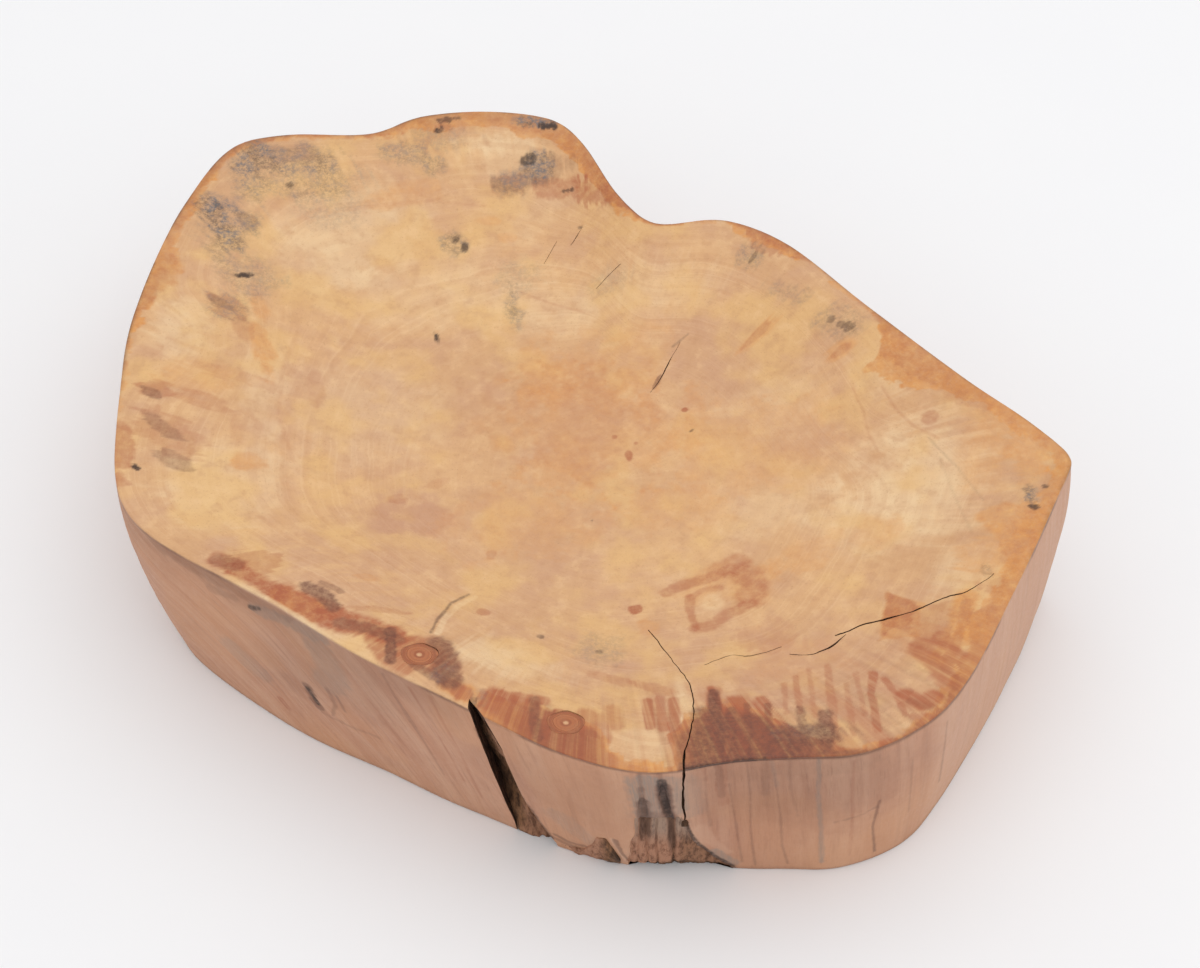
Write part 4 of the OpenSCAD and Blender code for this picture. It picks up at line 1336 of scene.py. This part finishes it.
# Cracks in the top: plan path, widths and depths along it, sideways wander, seed
CRACKS = [
    ([(121, -71), (116, -75), (110, -78), (102, -79.5), (95, -81), (88, -82.5), (81, -83.5), (74, -87)],
     [0.15, 0.25, 0.4, 0.5, 0.7, 0.6, 0.3], [2, 4, 5, 6, 5, 3], 0.8, 81),
    ([(77, -86.5), (73, -90), (69, -92), (66, -93), (60, -92.5)],
     [0.2, 0.5, 0.5, 0.25], [2, 3, 3, 1.5], 0.4, 88),
    ([(58, -89.5), (49, -92), (43, -93), (35, -97)], [0.12, 0.22, 0.2, 0.12], [1, 1.5, 0.8], 0.7, 82),
    ([(31, 41), (26, 30), (21, 21)], [0.1, 0.3, 0.12], [0.8, 1.5, 0.8], 0.4, 83),
    ([(-10.5, 88), (-12.5, 84), (-15, 78.5)], [0.1, 0.2, 0.1], [0.8, 1.2, 0.8], 0.3, 85),
    ([(11.5, 70.5), (7, 68), (3, 65)], [0.1, 0.2, 0.1], [0.8, 1.2, 0.8], 0.3, 86),
    ([(-2, 91), (-5.6, 85)], [0.1, 0.2, 0.1], [0.8, 1.2, 0.8], 0.3, 87),
]

cutters = [fissure_cutter(), seam_cutter()]
cutters += [crack_cutter(f"crack_{number}", *crack) for number, crack in enumerate(CRACKS)]
cutters += [knot_socket(name, SOCKET_RADIUS) for name in ("rim_knot", "left_knot")]
cutters.append(pocket_cutter())

bowl = make_object("bowl", body_mesh())
for material in SLOT_MATERIALS:
    bowl.data.materials.append(material)
cut(bowl, cutters)
paint(bowl)
bowl.data.shade_smooth()
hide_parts("bowl_body")
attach(bowl, "root")


# ---------------------------------------------------------------- bark and knots


def add_piece(name, mesh, material, node):
    obj = make_object(name, mesh)
    mesh.materials.append(material)
    mesh.shade_smooth()
    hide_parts(node)
    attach(obj, "root")


def add_bark(name, mesh, node, dark, light, haze=0.0):
    """Adds a piece of bark, with how dark each of its points is from painted shade and stain, and how pale
    and how grey it is.
    """
    count = len(mesh.vertices)
    tone = [np.broadcast_to(values, count) for values in (dark, light, haze, 0.0)]
    store(mesh, "tone", "COLOR", np.stack(tone, 1))
    add_piece(name, mesh, BARK, node)


def fissure_bark():
    """Bark on the fissure's right side. Its face slopes back from the wall into the dark gap."""
    share = np.linspace(0, 1, 40)
    loops = []
    for z in np.arange(0.25, 0.92 * TOP, 0.5):
        origin, width, depth = fissure_section(z / TOP)
        fill = (0.5 + 0.42 * smooth(34, 0, z) - 0.05 * z / TOP) * smooth(0.93 * TOP, 0.7 * TOP, z)
        d = -2.5 + (4.5 + min(0.34 * depth, 0.34 * z)) * share ** 1.3
        probe = xyz(share * width * 1.2, share * 3, z)
        d = d + 1.3 * fbm(probe, 3.5, 4, 54, (1, 1, 4.5)) * smooth(0, 0.15, share)
        d = np.minimum(d, 0.9 * depth)
        _, right = fissure_sides(np.maximum(d, 0), z)
        y = right - 0.5 + fill * width * share + 0.3 * share
        back = np.linspace(d[-1] + 0.5, 0.6, 16)
        back_y = np.minimum(fissure_sides(back, z)[1] - 0.35, y[-1] - 0.1)
        px, py = place(np.concatenate([d, back]), np.concatenate([y, back_y]), origin, FISSURE_DIR)
        loops.append(xyz(px, np.maximum(py, wall_y(px, z) + 0.35), z))
    mesh = loft("fissure_bark_piece", loops)
    p = vertex_positions(mesh)
    origin = FISSURE_FOOT + (FISSURE_TOP - FISSURE_FOOT) * (p[:, 2:] / TOP)
    into = (p[:, :2] - origin) @ np.array([math.cos(FISSURE_DIR), math.sin(FISSURE_DIR)])
    # Painted shade darkens the bark the further it lies into the fissure
    add_bark("fissure_bark_piece", mesh, "fissure_bark", smooth(2.5, 10, into), smooth(3.0, 0.6, into) * 0.55)


# Furrows between the ribs: x at the foot, x at the top, half width and depth
FURROWS = [
    (15.4, 15.8, 0.3, 0.5), (18.7, 17.4, 0.45, 1.0), (21.6, 20.3, 0.35, 0.9), (26.4, 25.3, 0.7, 1.3),
    (31.5, 27.6, 0.4, 0.35),
]
# The arch that is worn away under the ribs: x, and its height there
ARCH = np.array([(11, 1.5), (14, 3), (19, 5.2), (25, 6.2), (30, 5.4), (35, 4), (40, 2), (44, 0.5)])
RIBS_TOP = 39.5


def rib_recess(x, z):
    """How far the ribs' surface lies behind the wall."""
    share = smooth(0, 34, z)
    recess = 0.25 + 0.5 * smooth(26, 6, z)
    for at_foot, at_top, half, depth in FURROWS:
        middle = at_foot + (at_top - at_foot) * share + 0.3 * fbm(xyz(z, at_foot), 7, 2, 74)
        recess = recess + 0.65 * depth * bell(x, middle, half)
    return recess + 0.22 * fbm(xyz(x, z * 0.15), 1.3, 4, 75)


def pocket_bark():
    """Ribbed bark in the pocket, nearly level with the wall, and worn away in an arch at the foot. Below the
    arch it is set back, and painted shade on it stands for the shadow under the ribs.
    """
    share = np.linspace(0, 1, 150)
    loops = []
    for z in np.arange(0.3, RIBS_TOP, 0.4):
        left, right, _ = pocket_edges(z)
        x = left + (right - left) * share
        depth = cavity(pocket_depth(x, z)[0])
        arch = np.interp(x, *ARCH.T) + 0.6 * fbm(xyz(x), 3, 3, 76)
        worn = 0.6 * smooth(0.8, -0.8, z - arch) + 0.12 * np.maximum(arch - z, 0)
        thick = np.maximum(depth - rib_recess(x, z) - worn, 0)
        thick = thick * smooth(0, 0.02, share) * smooth(1, 0.975, share) * smooth(RIBS_TOP, 34.5, z)
        # The upper end is ragged and buried, so that its flat cap is out of sight
        sink = 0.06 + 1.3 * smooth(36.2, 38.2, z + 1.1 * fbm(xyz(x), 2.6, 2, 80))
        back = wall_y(x, z) + depth
        y = np.concatenate([back - thick + sink, back[::-1] + sink + 0.3])
        loops.append(xyz(np.concatenate([x, x[::-1]]), y, z))
    mesh = loft("pocket_bark_piece", loops)
    x, y, z = vertex_positions(mesh).T
    behind = y - wall_y(x, z)
    crest = smooth(1.9, 0.9, behind) * (1 - 0.6 * smooth(26, 29, x))
    between = np.maximum(np.abs(x - 17) - 1.6, 0) * np.maximum(np.abs(x - 25) - 0.8, 0)
    haze = smooth(20, 33, z) * (0.25 + 0.7 * smooth(0, 2.5, between))
    streak_1 = smooth(2.4, 1.2, np.abs(x - 17.3)) * smooth(20, 31, z)
    streak_2 = smooth(1.7, 0.6, np.abs(x - 26.6 + 0.06 * z)) * smooth(12, 26, z)
    running_down = np.maximum(streak_1, streak_2)
    # Painted shade darkens the bark the deeper it lies behind the wall; running_down is dark stain down the
    # streaks
    dark = np.maximum(0.8 * smooth(1.3, 2.6, behind), 0.85 * running_down)
    add_bark("pocket_bark_piece", mesh, "pocket_bark", dark, crest, haze * (1 - 0.8 * running_down))


# The flake's outline on the wall: x, and its height there
FLAKE = np.array([(-8.5, 1.4), (-4, 3.5), (0, 5.5), (2.5, 11), (4.5, 18.5), (7.5, 20), (9, 15), (10.5, 7)])


def edge_flake():
    """A thin curl of bark on the foot's edge between the fissure and the pocket."""
    loops = []
    for t in np.linspace(0, 1, 90):
        x = FLAKE[0, 0] + (FLAKE[-1, 0] - FLAKE[0, 0]) * t
        height = np.interp(x, *FLAKE.T)
        height = height + min(0.8, 0.2 * height) * fbm(xyz(x), 3, 3, 78)
        z = np.linspace(0.15, height, 40)
        xs = x + 0.35 * smooth(2, 8, x) * np.sin(z / 20 * math.pi * 1.5) - 0.05 * z
        curl = 0.45 * smooth(4, 8.5, x) * smooth(0, 6, z)
        lift = 0.14 - 0.8 * smooth(-1, -6, x) + 0.3 * fbm(xyz(xs, 0, z), 2.5, 4, 79, (1, 1, 3)) + curl
        fade = smooth(1.0, 0.8, z / height) * smooth(0, 0.1, t) * smooth(1, 0.97, t)
        lift = np.where(lift > 0, lift * fade, np.maximum(lift, -0.7))
        face = wall_y(xs, z)
        loops.append(np.vstack([xyz(xs, face - lift - 0.03, z), xyz(xs, face + 1.2, z)[::-1]]))
    mesh = loft("edge_flake_piece", loops)
    x, _, z = vertex_positions(mesh).T
    right_edge = smooth(7.2, 9.5, x) * smooth(3, 7, z)
    add_bark("edge_flake_piece", mesh, "edge_bark_flake", 0.9 * right_edge, 0.95 * smooth(7.0, 3, x))


def seam_bark():
    """The thin dark sheet in the seam, set back from the wall, with a nub at the elbow."""
    d = np.linspace(0, 9, 18)
    loops = []
    for z in np.arange(SEAM_ELBOW_Z - 2, TOP - 1.2, 0.5):
        middle = seam_middle(z)
        nub = bell(z, SEAM_ELBOW_Z + 0.8, 1.6)
        x = middle + 0.1 * fbm(xyz(d, 0.0, z), 3, 2, 64)
        y = wall_y(middle, z) + 1.0 + 0.4 * fbm(xyz(d, 0.0, z), 4, 3, 65) - 1.7 * nub + d
        half = (0.2 + 0.8 * nub) * smooth(9.2, 7, d) + 0.03
        loops.append(np.vstack([xyz(x + half, y, z), xyz(x - half, y, z)[::-1]]))
    add_bark("seam_bark_piece", loft("seam_bark_piece", loops), "seam_bark", 0.75, 0.0)


def knot(name):
    """A knot's plug. Its top follows the carved surface and its rings stand up slightly."""
    top, end, low = knot_axis(name)
    loops = []
    for share in np.linspace(0.04, 1, 26):
        x, y = knot_ring(top, KNOT_RADIUS * share)
        rise = 0.07 * math.cos(share * KNOT_RADIUS * 2 * math.pi / 1.6) + 0.04 * fbm(xyz(x, y), 1.2, 2, 87)
        loops.append(xyz(x, y, top_height(x, y) + rise * smooth(1, 0.9, share)))
    surface = top_height(*top)
    for t in np.linspace(0, 1, 8)[1:]:
        ring = knot_ring(top + (end - top) * t, KNOT_RADIUS * (1 - KNOT_TAPER * t))
        loops.append(xyz(*ring, surface + (low - surface) * t))
    mesh = loft(name + "_plug", loops)
    x, y, _ = vertex_positions(mesh).T
    store(mesh, "trunk", "VECTOR", xyz(np.hypot(x - top[0], y - top[1])))
    add_piece(name + "_plug", mesh, KNOT, name)


BARK = bark_material()
KNOT = knot_material()
fissure_bark()
pocket_bark()
edge_flake()
seam_bark()
knot("rim_knot")
knot("left_knot")

# ---------------------------------------------------------------- floor, light and camera

VIEW_DOWN = math.radians(48)  # how far below level the camera looks
VIEW_RANGE = 789.0  # mm from the aim point to the camera
AIM = (4.4, 21.0, 0.0)
SENSOR_WIDTH = 36.0
LENS = 69.0
VIEW_END = 20.0  # metres, past which the camera sees nothing
FLOOR_HALF = 6000.0
DOME_STRENGTH = (0.74, 0.92)  # at the horizon, and overhead


def add_light(name, place_mm, aim_mm, size_mm, watts):
    light = bpy.data.lights.new(name, "AREA")
    light.shape = "RECTANGLE"
    light.size, light.size_y = size_mm[0] * MM, size_mm[1] * MM
    light.energy = watts
    obj = bpy.data.objects.new(name, light)
    obj.location = Vector(place_mm) * MM
    obj.rotation_euler = (Vector(aim_mm) - Vector(place_mm)).to_track_quat("-Z", "Y").to_euler()
    bpy.context.scene.collection.objects.link(obj)


def studio_world():
    """A white dome that is brighter overhead than at the horizon, as in a light tent."""
    world = bpy.data.worlds.new("studio")
    world.use_nodes = True
    nodes, links = world.node_tree.nodes, world.node_tree.links
    background = nodes["Background"]
    direction = nodes.new("ShaderNodeSeparateXYZ")
    links.new(nodes.new("ShaderNodeTexCoord").outputs["Generated"], direction.inputs[0])
    strength = nodes.new("ShaderNodeMapRange")
    limits = {"From Min": 0.0, "From Max": 0.8, "To Min": DOME_STRENGTH[0], "To Max": DOME_STRENGTH[1]}
    for socket, value in limits.items():
        strength.inputs[socket].default_value = value
    links.new(direction.outputs["Z"], strength.inputs["Value"])
    links.new(strength.outputs[0], background.inputs["Strength"])
    background.inputs["Color"].default_value = (1.0, 1.0, 1.0, 1.0)
    return world


def add_camera():
    camera = bpy.data.cameras.new("camera")
    camera.sensor_width = SENSOR_WIDTH
    camera.lens = LENS
    camera.clip_end = VIEW_END
    view = bpy.data.objects.new("camera", camera)
    away = Vector((0, -math.cos(VIEW_DOWN), math.sin(VIEW_DOWN))) * VIEW_RANGE
    view.location = (Vector(AIM) + away) * MM
    view.rotation_euler = (math.pi / 2 - VIEW_DOWN, 0, 0)
    bpy.context.scene.collection.objects.link(view)
    bpy.context.scene.camera = view


corners = np.array([(-1, -1, 0), (1, -1, 0), (1, 1, 0), (-1, 1, 0)]) * FLOOR_HALF
floor = make_object("floor", make_mesh("floor", corners, [np.array([[0, 1, 2, 3]])]))
floor.data.materials.append(ground_material())
bpy.context.scene.world = studio_world()
add_light("top_softbox", (200, 120, 1500), (0, 0, 0), (1800, 1800), 4.5)
add_light("right_fill", (1300, -500, 550), (0, 0, 30), (900, 700), 1.6)
add_light("left_fill", (-1000, -900, 700), (-100, -150, 0), (900, 700), 1.1)
add_camera()
bpy.context.scene.view_settings.view_transform = "Standard"
